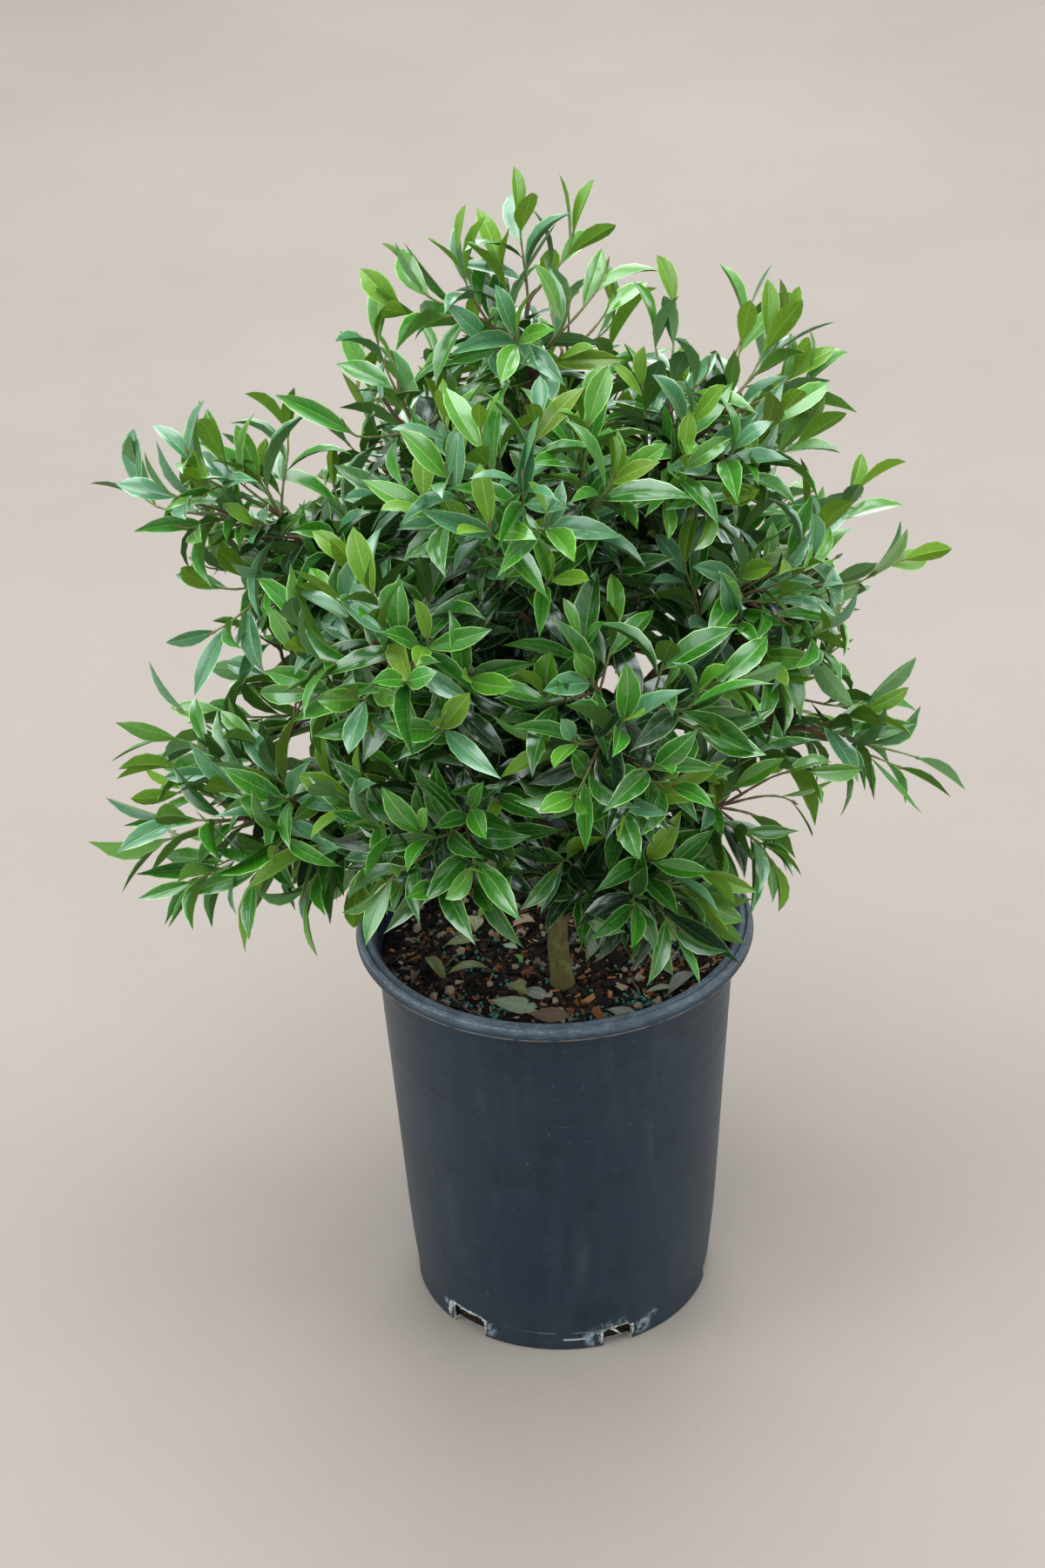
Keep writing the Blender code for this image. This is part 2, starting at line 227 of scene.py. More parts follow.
def add_piece(name, slot, verts, faces, finishes, kinds=None, charts=None, sharp=35.0,
              outward=False):
    """One smooth-shaded mesh from corner positions and lists of faces.

    faces is a list of (m, k) index arrays; kinds gives each face's material; charts
    maps a UV map's name to one (u, v) for each face corner; edges that fold by more
    than sharp degrees stay sharp; outward turns the faces of closed shells outwards.
    With no slot the piece is left off the plant.
    """
    verts = np.asarray(verts, float).reshape(-1, 3)
    corners = np.concatenate([np.asarray(f).ravel() for f in faces])
    sizes = np.concatenate([np.full(len(f), np.shape(f)[1]) for f in faces])
    starts = np.concatenate([[0], np.cumsum(sizes)[:-1]])
    mesh = bpy.data.meshes.new(name)
    mesh.vertices.add(len(verts))
    mesh.vertices.foreach_set("co", verts.astype(np.float32).ravel())
    mesh.loops.add(len(corners))
    mesh.polygons.add(len(sizes))
    mesh.polygons.foreach_set("loop_start", starts.astype(np.int32))
    mesh.polygons.foreach_set("vertices", corners.astype(np.int32))
    for finish in finishes:
        mesh.materials.append(finish.material)
    if kinds is not None:
        mesh.polygons.foreach_set("material_index", np.concatenate(kinds).astype(np.int32))
    for chart, spots in (charts or {}).items():
        layer = mesh.uv_layers.new(name=chart)
        layer.data.foreach_set("uv", np.concatenate([s.reshape(-1, 2) for s in spots])
                               .astype(np.float32).ravel())
    mesh.update(calc_edges=True)
    mesh.validate()
    if outward:
        turn_outward(mesh)
    mesh.shade_smooth()
    mesh.set_sharp_from_angle(angle=math.radians(sharp))
    thing = bpy.data.objects.new(name, mesh)
    bpy.context.scene.collection.objects.link(thing)
    if slot:
        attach(thing, "root")
    return thing


def turn_outward(mesh):
    """Faces of closed shells made to point outwards."""
    work = bmesh.new()
    work.from_mesh(mesh)
    bmesh.ops.recalc_face_normals(work, faces=work.faces)
    work.to_mesh(mesh)
    work.free()


def ring_grid(rings, sides):
    """Corner numbers of closed rings, and each corner's neighbour round its ring."""
    index = np.arange(rings * sides).reshape(rings, sides)
    return index, np.roll(index, -1, axis=1)


def ripple(points, pitch, seed, count=14):
    """Smooth relief, mostly within -1 to 1: half the sum of count sine waves of about one
    pitch, in random directions and phases, over the square root of count / 2."""
    draw = np.random.default_rng(seed)
    heading = unit(draw.normal(size=(count, 3))) * (TURN / pitch)
    heading = heading * draw.uniform(0.6, 1.5, (count, 1))
    phase = draw.uniform(0.0, TURN, count)
    return np.sin(points @ heading.T + phase).sum(-1) / math.sqrt(0.5 * count) / 2.0


def curves_at(controls, shares):
    """Points and tangents of cubic Bezier curves: controls (n, 4, 3), shares (k)."""
    t = np.asarray(shares, float)[None, :, None]
    p0, p1, p2, p3 = (controls[:, i, None, :] for i in range(4))
    point = p0 * (1 - t) ** 3 + 3 * p1 * t * (1 - t) ** 2 + 3 * p2 * t ** 2 * (1 - t) + p3 * t ** 3
    slope = 3 * ((p1 - p0) * (1 - t) ** 2 + 2 * (p2 - p1) * t * (1 - t) + (p3 - p2) * t ** 2)
    return point, unit(slope)


def tubes(points, radii, sides):
    """Closed round tubes, all with the same number of rings.

    points (n, rings, 3), radii (n, rings) or (n, rings, sides). Each ring lies square to
    its route, turned as little as possible from the last. Returns corners, faces and,
    for each face corner, its share round and its share along.
    """
    n, rings = points.shape[:2]
    slope = unit(np.gradient(points, axis=1))
    guess = np.where(np.abs(slope[:, :1, 2:]) > 0.9, np.array([1.0, 0.0, 0.0]), UP)
    across = np.empty_like(points)
    last = unit(np.cross(slope[:, 0], guess[:, 0]))
    for ring in range(rings):
        last = unit(last - (last * slope[:, ring]).sum(-1, keepdims=True) * slope[:, ring])
        across[:, ring] = last
    beside = np.cross(slope, across)
    angle = TURN * np.arange(sides) / sides
    if radii.ndim == 2:
        radii = radii[:, :, None]
    spokes = (across[:, :, None, :] * np.cos(angle)[:, None]
              + beside[:, :, None, :] * np.sin(angle)[:, None])
    verts = points[:, :, None, :] + spokes * radii[..., None]
    ring, side = np.meshgrid(np.arange(rings - 1), np.arange(sides), indexing="ij")
    after = (side + 1) % sides
    one = np.stack([ring * sides + side, ring * sides + after,
                    (ring + 1) * sides + after, (ring + 1) * sides + side], -1).reshape(-1, 4)
    base = (np.arange(n) * rings * sides)[:, None, None]
    walls = (base + one).reshape(-1, 4)
    low = (base[:, :, 0] + np.arange(sides)[::-1])
    high = (base[:, :, 0] + (rings - 1) * sides + np.arange(sides))
    u = np.stack([side, side + 1, side + 1, side], -1).reshape(-1, 4) / sides
    v = np.stack([ring, ring, ring + 1, ring + 1], -1).reshape(-1, 4) / (rings - 1)
    chart = np.broadcast_to(np.stack([u, v], -1), (n,) + u.shape + (2,)).reshape(-1, 4, 2)
    disc = polar(0.02, angle, 0.0)[:, :2] + [0.5, 0.02]
    discs = np.broadcast_to(disc, (n, sides, 2))
    return verts.reshape(-1, 3), [walls, low, high], [chart, discs, discs]


# ---- reading limbs and masses from the frame --------------------------------

def corners_of(node):
    """The distinct corner points of a CAD node."""
    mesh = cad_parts[node].data
    spots = np.empty(len(mesh.vertices) * 3, np.float32)
    mesh.vertices.foreach_get("co", spots)
    return np.unique(spots.reshape(-1, 3).round(6), axis=0).astype(float)


def centre_line(node, reach, first):
    """Centres and radii of a limb's rings, from the one nearest to first onwards.

    Corners closer together than reach belong to one ring.
    """
    spots = corners_of(node)
    near = np.linalg.norm(spots[:, None] - spots[None], axis=2) < reach
    label = np.arange(len(spots))
    for _ in range(len(spots)):
        lower = np.where(near, label[None, :], len(spots)).min(1)
        if (lower == label).all():
            break
        label = lower
    rings = [spots[label == k] for k in np.unique(label)]
    centres = np.array([r.mean(0) for r in rings])
    radii = np.array([np.linalg.norm(r - r.mean(0), axis=1).mean() for r in rings])
    order, here, left = [], np.asarray(first, float), list(range(len(rings)))
    while left:
        nearest = min(left, key=lambda k: np.linalg.norm(centres[k] - here))
        left.remove(nearest)
        order.append(nearest)
        here = centres[nearest]
    return centres[order], radii[order]


def resampled(points, count):
    """count points evenly spaced along a Catmull-Rom curve through the points, and their
    shares of the way."""
    known = np.vstack([2 * points[0] - points[1], points, 2 * points[-1] - points[-2]])
    t = np.linspace(0.0, len(points) - 1, 12 * len(points))
    span = np.minimum(t.astype(int), len(points) - 2)
    t = (t - span)[:, None]
    a, b, c, d = known[span], known[span + 1], known[span + 2], known[span + 3]
    curve = 0.5 * (2 * b + (c - a) * t + (2 * a - 5 * b + 4 * c - d) * t ** 2
                   + (3 * b - a - 3 * c + d) * t ** 3)
    way = np.concatenate([[0.0], np.cumsum(np.linalg.norm(np.diff(curve, axis=0), axis=1))])
    wanted = np.linspace(0.0, way[-1], count)
    return np.stack([np.interp(wanted, way, curve[:, k]) for k in range(3)], -1), wanted / way[-1]


# ---- leaves -----------------------------------------------------------------

# One leaf's stations along its midrib, and its half widths there, old and young, as shares
# of the widest.
STATIONS = np.array([0.0, 0.065, 0.20, 0.37, 0.55, 0.73, 0.88, 1.0])
OLD_OUTLINE = np.array([0.055, 0.09, 0.58, 0.93, 1.0, 0.70, 0.25, 0.0])
YOUNG_OUTLINE = np.array([0.055, 0.09, 0.42, 0.79, 1.0, 0.95, 0.56, 0.0])
ACROSS = np.array([-1.0, -0.52, 0.0, 0.52, 1.0])
BLADE_THICK = 0.00035       # of a blade at its midrib
DROOP_POWER = 1.6           # a leaf bends most towards its tip
EDGE_CURL = 0.28            # how far the edges curl back, as a share of the half width
ROWS = len(STATIONS)
ROW_CORNERS = len(ACROSS) + 1
LEAF_CORNERS = ROW_CORNERS * (ROWS - 1) + 1


def leaf_faces():
    """Faces of one leaf: upper side and its tip, under side and its tip, and the foot.

    A row holds five upper corners and one under the midrib; the last row is the tip.
    """
    upper, under, upper_tip, under_tip = [], [], [], []
    rim, keel, tip = len(ACROSS) - 1, len(ACROSS), LEAF_CORNERS - 1
    for row in range(ROWS - 1):
        low, high = row * ROW_CORNERS, (row + 1) * ROW_CORNERS
        if row < ROWS - 2:
            upper += [(low + j, high + j, high + j + 1, low + j + 1) for j in range(rim)]
            under += [(low, low + keel, high + keel, high),
                      (low + keel, low + rim, high + rim, high + keel)]
        else:
            upper_tip += [(low + j, tip, low + j + 1) for j in range(rim)]
            under_tip += [(low, low + keel, tip), (low + keel, low + rim, tip)]
    cap = [tuple(range(ROW_CORNERS))]
    return [np.array(f) for f in (upper, upper_tip, under, under_tip, cap)]


LEAF_FACES = leaf_faces()


def leaf_spots():
    """Station, place across (-1 to 1) and old half width of each corner of one leaf."""
    station = np.append(np.repeat(STATIONS[:-1], ROW_CORNERS), 1.0)
    across = np.append(np.tile(np.append(ACROSS, 0.0), ROWS - 1), 0.0)
    outline = np.append(np.repeat(OLD_OUTLINE[:-1], ROW_CORNERS), 0.0)
    return station, across, outline


def leaf_corners(base, along, face, length, width, fold, droop, twist, sway, youth):
    """Corner positions of leaves, (n, LEAF_CORNERS, 3).

    The midrib starts at base along the leaf's heading and turns down from its face by
    droop * station ** DROOP_POWER. Half widths follow the outline between old and young.
    The half blades rise from the midrib by fold and curl back by EDGE_CURL * (share of the
    half width) ** 2; the section turns about the midrib by twist * station and swings
    aside by sway * station.
    """
    n = len(base)
    along = unit(along)
    face = unit(face - (face * along).sum(-1, keepdims=True) * along)
    beside = np.cross(face, along)
    s = STATIONS[None, :]
    bend = -droop[:, None] * s ** DROOP_POWER
    turn = sway[:, None] * s
    middle = 0.5 * (bend[:, 1:] + bend[:, :-1])
    aside = 0.5 * (turn[:, 1:] + turn[:, :-1])
    step = np.diff(STATIONS)[None, :] * length[:, None]
    zero = np.zeros((n, 1))
    x = np.hstack([zero, np.cumsum(step * np.cos(middle) * np.cos(aside), 1)])
    y = np.hstack([zero, np.cumsum(step * np.sin(aside), 1)])
    z = np.hstack([zero, np.cumsum(step * np.sin(middle) * np.cos(aside), 1)])
    outline = OLD_OUTLINE + youth[:, None] * (YOUNG_OUTLINE - OLD_OUTLINE)
    half = 0.5 * width[:, None] * outline
    lean = twist[:, None] * s
    q = np.append(ACROSS, 0.0)[None, None, :]
    rise = np.abs(q) * np.tan(fold)[:, None, None] - EDGE_CURL * q ** 2
    out = q * np.cos(fold)[:, None, None]
    under = np.where(np.arange(ROW_CORNERS) == ROW_CORNERS - 1, BLADE_THICK, 0.0)
    up = half[:, :, None] * rise - under
    out = half[:, :, None] * out
    flat = out * np.cos(lean)[:, :, None] - up * np.sin(lean)[:, :, None]
    high = out * np.sin(lean)[:, :, None] + up * np.cos(lean)[:, :, None]
    local_x = (x[:, :, None] - high * np.sin(bend)[:, :, None]
               - flat * np.sin(turn)[:, :, None])
    local_y = y[:, :, None] + flat * np.cos(turn)[:, :, None]
    local_z = z[:, :, None] + high * np.cos(bend)[:, :, None]
    corners = (base[:, None, None, :] + local_x[..., None] * along[:, None, None, :]
               + local_y[..., None] * beside[:, None, None, :]
               + local_z[..., None] * face[:, None, None, :])
    body = corners[:, :-1].reshape(n, -1, 3)
    return np.concatenate([body, corners[:, -1:, 2]], axis=1)


# Chart cells: upper sides down the left half, lower sides down the right half.
CELL_WIDE = 0.5
CELL_EDGE = 0.012
FOOT_SHIFT = 0.01           # opens the foot's face in the chart
LOWER_FACES = 2             # leaf_faces' first kind that shows the lower side
FOOT_FACE = 4               # and its last, the foot


def leaf_cell(tone, tones, lower, spots, outline):
    """Place in the bake chart of a leaf corner: its station runs across a cell and its
    outline up it."""
    station, across = spots
    high = 1.0 / tones
    left = CELL_WIDE * lower + CELL_EDGE + (CELL_WIDE - 2 * CELL_EDGE) * station
    middle = high * (tone + 0.5)
    return np.stack(np.broadcast_arrays(left, middle + across * (outline * 0.9 + 0.1)
                                        * (0.5 * high - CELL_EDGE)), -1)


def add_leaves(name, slot, corners, tone, finishes):
    """One joined piece of leaves. tone picks the finish: upper sides, then lower sides."""
    n = len(corners)
    tones = len(finishes) // 2
    station, across, outline = leaf_spots()
    base = (np.arange(n) * LEAF_CORNERS)[:, None, None]
    faces, kinds, blades, cells = [], [], [], []
    for index, part in enumerate(LEAF_FACES):
        lower = int(index >= LOWER_FACES)
        faces.append((base + part[None]).reshape(-1, part.shape[1]))
        kinds.append(np.repeat(tone + lower * tones, len(part)))
        spots = station[part], across[part]
        blade = np.stack([spots[1] * 0.5 + 0.5, spots[0]], -1)
        if index == FOOT_FACE:
            spots = spots[0] + np.array([0.0] * len(ACROSS) + [FOOT_SHIFT]), spots[1]
        blades.append(np.broadcast_to(blade, (n,) + blade.shape).reshape(-1, 2))
        row = tone[:, None, None] * np.ones(part.shape)
        cells.append(leaf_cell(row, tones, lower, spots, outline[part]).reshape(-1, 2))
    return add_piece(name, slot, corners, faces, finishes, kinds,
                     {"OFBake": cells, "blade": blades}, sharp=40.0)


VEIN_PAIRS = 9.0
TEETH = 30.0
HALF_BLADE = 10.0           # millimetres


def leaf_finish(name, colour, pale, rib, edge, rough, lower=False, gloss=1.0, sheen=0.22):
    """A leaf's surface, from its blade chart: midrib, side veins, toothed pale edge, mottle.

    Distances are millimetres on a blade whose half width at share s of its length is
    HALF_BLADE * (4 s (1 - s)) ** 0.7.
    """
    made = Finish(name, colour, Roughness=rough, Specular_IOR_Level=0.25 if lower else sheen,
                  Specular_Tint=(0.88, 1.0, 0.98, 1.0), Coat_Roughness=0.205, Coat_IOR=1.72,
                  Coat_Weight=0.0 if lower else gloss)
    u, s = made.chart("blade")
    q = abs(u * 2.0 - 1.0)
    half = HALF_BLADE * (s * (1.0 - s) * 4.0 + 0.02) ** 0.7
    from_rib = q * half
    from_edge = (1.0 - q) * half
    on_rib = from_rib.under(0.34, 0.84) * s.under(0.86, 0.98)
    tooth = (s * TEETH).zigzag()
    on_edge = (from_edge - tooth * 0.7).under(0.28, 0.92)
    veins = (s * VEIN_PAIRS - q ** 1.3 * 1.15).zigzag().under(0.0, 0.11) * q.under(0.72, 0.92)
    mottle = made.chart_noise("blade", (2.2, 4.5), 1.6, 3.0)
    fleck = made.chart_noise("blade", (9.0, 26.0), 3.0, 2.0)
    shade = made.coats(colour, (mottle.over(0.35, 0.68) * 0.75, pale),
                       (veins * (0.34 if lower else 0.20), rib),
                       ((fleck - 0.5) * 0.5 + 0.12, pale),
                       (on_edge * (0.5 if lower else 0.85), edge),
                       (on_rib * (0.80 if lower else 0.78), rib))
    rough = fleck * 0.16 + mottle * 0.10 + (rough - 0.12)
    relief = veins * (0.5 if lower else -0.5) + on_rib * (1.6 if lower else -0.8) + mottle * 0.5
    made.surface(shade, rough, relief + fleck * 0.25, 0.0006, 0.55)
    return made


# Upper sides of the leaves by tone: colour, paler mottle, rib, edge, roughness and extras.
LIME, FRESH, GRASS, BOTTLE, INK_SHADE, OLIVE, JADE_SHEEN = range(7)
UPPER_TONES = (
    ("lime", (0.116, 0.258, 0.014), (0.146, 0.296, 0.020), (0.30, 0.48, 0.10),
     (0.34, 0.54, 0.11), 0.42, {"gloss": 0.40}),
    ("fresh", (0.067, 0.244, 0.012), (0.092, 0.286, 0.018), (0.28, 0.50, 0.11),
     (0.40, 0.65, 0.16), 0.40, {"sheen": 0.22}),
    ("grass", (0.029, 0.184, 0.007), (0.046, 0.224, 0.012), (0.26, 0.48, 0.12),
     (0.40, 0.66, 0.18), 0.37, {"sheen": 0.15}),
    ("bottle", (0.017, 0.116, 0.006), (0.029, 0.152, 0.010), (0.21, 0.41, 0.11),
     (0.36, 0.61, 0.17), 0.34, {"sheen": 0.13}),
    # Ink: near-black green for old leaves deep in the crown, their own dark green darkened further
    # as painted shade.
    ("ink_shade", (0.006, 0.030, 0.006), (0.011, 0.046, 0.010), (0.10, 0.21, 0.08),
     (0.18, 0.34, 0.12), 0.32, {"sheen": 0.10}),
    ("olive", (0.095, 0.185, 0.012), (0.135, 0.225, 0.018), (0.28, 0.38, 0.08),
     (0.31, 0.44, 0.08), 0.40, {"gloss": 0.3}),
    # Jade: a bluish green that stands in for the sky's reflection, a painted sheen.
    ("jade_sheen", (0.060, 0.208, 0.082), (0.080, 0.250, 0.108), (0.29, 0.48, 0.18),
     (0.36, 0.58, 0.20), 0.36, {"sheen": 0.34}),
)
# Lower sides by tone; the jade ones back the leaves with painted sheen and the ink ones carry
# painted shade.
LOWER_TONES = (("lime", (0.148, 0.275, 0.018)), ("fresh", (0.120, 0.245, 0.018)),
               ("grass", (0.078, 0.178, 0.022)), ("bottle", (0.050, 0.124, 0.020)),
               ("ink_shade", (0.022, 0.058, 0.012)), ("olive", (0.125, 0.195, 0.024)),
               ("jade_sheen", (0.096, 0.195, 0.062)))


def leaf_finishes():
    """Upper sides by tone, then lower sides by tone."""
    finishes = [leaf_finish("leaf_" + name, *colours, **extras)
                for name, *colours, extras in UPPER_TONES]
    for name, colour in LOWER_TONES:
        pale = tuple(1.2 * c for c in colour)
        rib = tuple(min(1.6 * c + 0.02, 1.0) for c in colour)
        finishes.append(leaf_finish("leaf_back_" + name, colour, pale, rib, rib, 0.62, lower=True))
    return finishes


# ---- how the crown grows ----------------------------------------------------

# Leading shoots that carry the crown's furthest leaves: where each shoot ends, in
# millimetres, and how upright it ends, from 0, straight out, to 1, straight up.
LEADERS = (
    (-10, 18, 836, 1.0), (24, 28, 820, 0.9), (46, 18, 804, 0.8), (-50, 2, 820, 0.9),
    (-78, 2, 804, 0.8), (-88, -18, 794, 0.4), (90, 28, 768, 0.9), (140, 55, 752, 0.8),
    (160, 28, 748, 0.8), (176, 18, 714, 0.6), (210, 0, 646, 0.5), (242, 10, 586, 0.3),
    (205, -20, 566, 0.2), (182, -48, 548, 0.1), (258, 20, 424, 0.2), (222, 20, 460, 0.2),
    (166, -44, 430, 0.1), (150, -80, 404, 0.0), (-128, -26, 716, 0.8), (-170, 26, 690, 0.6),
    (-210, -18, 690, 0.7), (-222, -26, 676, 0.4), (-246, -28, 672, 0.3), (-238, -36, 650, 0.1),
    (-218, -70, 590, 0.1), (-250, -20, 500, 0.3), (-252, -56, 458, 0.1), (-278, -64, 418, 0.1),
    (-236, -88, 412, 0.0), (-202, -106, 420, 0.0), (-166, -122, 416, 0.0), (-108, -124, 436, 0.0),
    (56, -132, 384, 0.0), (98, -100, 382, 0.0), (-26, -132, 430, 0.0), (4, -140, 444, 0.0),
    (-265, -30, 463, 0.3), (-262, -45, 496, 0.1), (-95, 0, 750, 0.7), (133, 20, 745, 0.8),
    (76, 20, 753, 0.9), (-232, -20, 696, 0.9), (197, 0, 595, 0.4), (245, 20, 417, 0.2),
    (-105, -10, 772, 0.8), (-22, 10, 811, 1.0), (150, 20, 747, 0.8), (151, -50, 414, 0.1),
    (167, 10, 729, 0.6),
)
# Hollows between the masses that late shoots grow into, in millimetres.
HOLLOWS = (
    (-14, 14, 440), (-26, 26, 488), (22, 14, 476), (-62, -10, 500), (-62, -10, 440),
    (34, 26, 524), (-14, -22, 476), (-26, 62, 452), (-2, 62, 524), (130, 182, 488),
    (-194, 74, 524), (22, 50, 440), (-38, 2, 548), (-110, 2, 512), (34, 218, 572), (70, 26, 464),
    (10, -70, 500), (106, 218, 524), (-98, 194, 488), (-62, 62, 488), (-182, 122, 536),
    (-74, -58, 512), (46, -34, 500), (-50, 50, 536), (-146, 38, 524), (-86, -10, 560),
    (-158, -46, 536), (178, 146, 512), (58, 74, 524), (-50, -22, 608), (-26, -46, 536),
    (46, 14, 572), (106, 14, 500), (-26, 242, 524), (94, 74, 488), (-62, 98, 452),
    (118, 146, 452), (-74, 26, 608), (-134, 146, 500), (-14, 74, 572), (94, 206, 584),
    (-2, 98, 488), (190, 50, 536), (-26, -70, 464), (-98, 26, 440), (-86, 170, 440),
    (-62, 134, 500), (70, 86, 440), (34, 134, 524), (34, -34, 608), (-98, 98, 500),
)
SHOOT_PITCH = 0.0295        # between shoot tips on the outside of the crown
INNER_PITCH = 0.043         # and where two masses meet
SHOOT_INSET = 0.026         # shoots end this far inside the mass, and their leaves fill it
SHOOTS_IN_SPRAY = 4
MEETING = 1.02              # masses closer than this, in their own sizes, meet
BODY_REACH = np.array([0.30, 0.29, 0.35])
HEART = np.array([0.0, 0.0, 0.50])
BODY_SHARE = 0.80           # of BODY_REACH: inside it nothing counts as exposed
SKIRT_LEVEL = 0.42          # height of the skirt's shoots
CROWN_RISE = 0.36           # from there to the top shoots
MAIN_TWIG_TIP = 0.0013
SHOOT_RADII = (0.00115, 0.00062)
OLD_WOOD, SIDE_TWIG, LATE_TWIG = 2, 1, 3
# Seeds of the random draws.
MASS_SEED, LATE_TWIG_SEED, LEAF_SEED, LATE_LEAF_SEED, BUD_SEED = 100, 141, 61, 142, 71

# Openings that no leaf or shoot fills, each a line in millimetres and, in tenths of one,
# the clear distance round it. All start GAP_REACH in front of the stem's axis. The first go
# right through the crown, to GAP_REACH behind it: (x, z) of either end. The others end on
# the mix and at the stem's foot: (x, z) in front, then (x, y, z).
GAP_REACH = 300
GAPS_THROUGH = (
    (-230, 794, -307, 492, 120), (-210, 737, -281, 414, 140), (-204, 701, -273, 367, 100),
    (-221, 770, -295, 459, 105), (-200, 673, -267, 329, 80), (193, 707, 257, 374, 221),
    (201, 734, 268, 411, 125), (184, 678, 246, 336, 126), (169, 554, 225, 170, 120),
    (-121, 868, -161, 590, 145), (48, 944, 64, 691, 132), (74, 637, 99, 281, 79),
    (26, 625, 35, 265, 79), (106, 579, 142, 203, 80), (95, 628, 127, 269, 67),
    (54, 708, 72, 376, 66), (91, 735, 121, 412, 59), (131, 590, 175, 218, 177),
    (89, 908, 119, 643, 167), (57, 900, 76, 633, 105), (26, 909, 35, 644, 132),
    (121, 875, 162, 599, 128), (178, 755, 238, 439, 125), (159, 657, 212, 308, 121),
    (-179, 744, -239, 424, 107), (-159, 698, -212, 363, 102), (-105, 842, -141, 555, 99),
    (-149, 636, -199, 280, 103), (19, 933, 25, 676, 98), (-12, 925, -16, 666, 92),
    (16, 895, 22, 626, 81), (60, 683, 80, 342, 102), (34, 675, 46, 332, 90),
    (70, 715, 93, 386, 83), (136, 806, 181, 507, 88), (124, 772, 166, 462, 77),
    (158, 811, 211, 513, 82), (-136, 818, -182, 523, 88), (-155, 804, -207, 505, 83),
    (213, 615, 285, 251, 122), (-224, 654, -299, 304, 91), (-164, 662, -220, 315, 84),
    (-182, 548, -244, 162, 80), (-77, 906, -103, 641, 87), (-76, 883, -102, 610, 82),
    (101, 893, 135, 624, 87), (-129, 838, -172, 549, 76), (-217, 586, -289, 213, 79),
)
GAPS_ONTO_MIX = (
    (-98, 490, -115, 5, 284, 108), (-81, 474, -94, -23, 284, 132), (-63, 467, -72, -35, 284, 132),
    (-44, 465, -51, -38, 284, 144), (-25, 472, -29, -26, 284, 145), (-6, 474, -7, -49, 302, 131),
    (5, 487, 5, -49, 317, 106), (7, 471, 7, -49, 299, 119), (16, 456, 18, -49, 281, 76),
)
OPENINGS = np.array(
    [(x, -GAP_REACH, z, end_x, GAP_REACH, end_z, clear)
     for x, z, end_x, end_z, clear in GAPS_THROUGH]
    + [(x, -GAP_REACH, z, end_x, end_y, end_z, clear)
       for x, z, end_x, end_y, end_z, clear in GAPS_ONTO_MIX]) / ([MM] * 6 + [10.0 * MM])


def in_the_clear(spots):
    """True for each row of spots (n, k, 3) that keeps out of every opening."""
    start, way = OPENINGS[:, :3], OPENINGS[:, 3:6] - OPENINGS[:, :3]
    gap = spots[:, :, None] - start
    share = np.clip((gap * way).sum(-1) / (way ** 2).sum(-1), 0.0, 1.0)
    away = np.linalg.norm(gap - share[..., None] * way, axis=-1)
    return (away > OPENINGS[:, 6]).all((1, 2))


def exposure(points):
    """0 within the body of the crown, rising to 1 at its furthest reaches."""
    far = np.linalg.norm((points - HEART) / BODY_REACH, axis=-1)
    return np.clip((far - BODY_SHARE) / 0.20, 0.0, 1.0)


class Crown:
    """What has grown, as cubic curves: twigs with their end radii and kind, and shoots and
    late shoots with theirs, their mass and how fresh they are."""

    def __init__(self):
        self.limbs, self.shoots, self.late = [], [], []


def thinned(points, pitch, draw):
    """Points taken in random order, each kept if none kept lies within its own pitch."""
    kept = []
    for i in draw.permutation(len(points)):
        if all(np.linalg.norm(points[i] - points[k]) > max(pitch[i], pitch[k]) for k in kept):
            kept.append(i)
    return np.array(kept, int)


def shoot_tips(name, masses, draw):
    """Where a mass's shoots end: close-set where it faces outwards, sparse where it meets
    another mass. Also says which of them are the sparse ones."""
    corners = masses[name]
    centre = corners.mean(0)
    size = np.linalg.norm(corners - centre, axis=1).mean()
    reach = corners - centre
    far = np.linalg.norm(reach, axis=1, keepdims=True)
    tips = centre + reach * (1.0 - SHOOT_INSET / far)
    meets = np.full(len(tips), np.inf)
    for other, spots in masses.items():
        if other != name:
            away = np.linalg.norm(tips - spots.mean(0), axis=1)
            meets = np.minimum(meets, away / (size + 0.012))
    outer = SHOOT_PITCH * (1.0 + 0.45 * exposure(tips))
    kept = thinned(tips, np.where(meets < MEETING, INNER_PITCH, outer), draw)
    kept = kept[in_the_clear(tips[kept][:, None])]
    return tips[kept], meets[kept] < MEETING


def sprays(tips, draw):
    """Groups of about SHOOTS_IN_SPRAY neighbouring tips, by rounds of nearest-centre grouping."""
    count = max(1, round(len(tips) / SHOOTS_IN_SPRAY))
    centres = tips[draw.permutation(len(tips))[:count]]
    for _ in range(12):
        own = np.linalg.norm(tips[:, None] - centres[None], axis=2).argmin(1)
        centres = np.array([tips[own == k].mean(0) if (own == k).any() else centres[k]
                            for k in range(count)])
    return [np.flatnonzero(own == k) for k in range(count) if (own == k).any()]


def bowed(start, heading, end, finish, lift=0.36):
    """A cubic curve that leaves start along heading and reaches end along finish."""
    reach = np.linalg.norm(end - start) * lift
    return np.array([start, start + unit(heading) * reach, end - unit(finish) * reach, end])


def first_part(curve, share):
    """A cubic curve's part from its start as far as share, split by de Casteljau's rule."""
    once = curve[:-1] + (curve[1:] - curve[:-1]) * share
    twice = once[:-1] + (once[1:] - once[:-1]) * share
    return np.array([curve[0], once[0], twice[0], twice[0] + (twice[1] - twice[0]) * share])


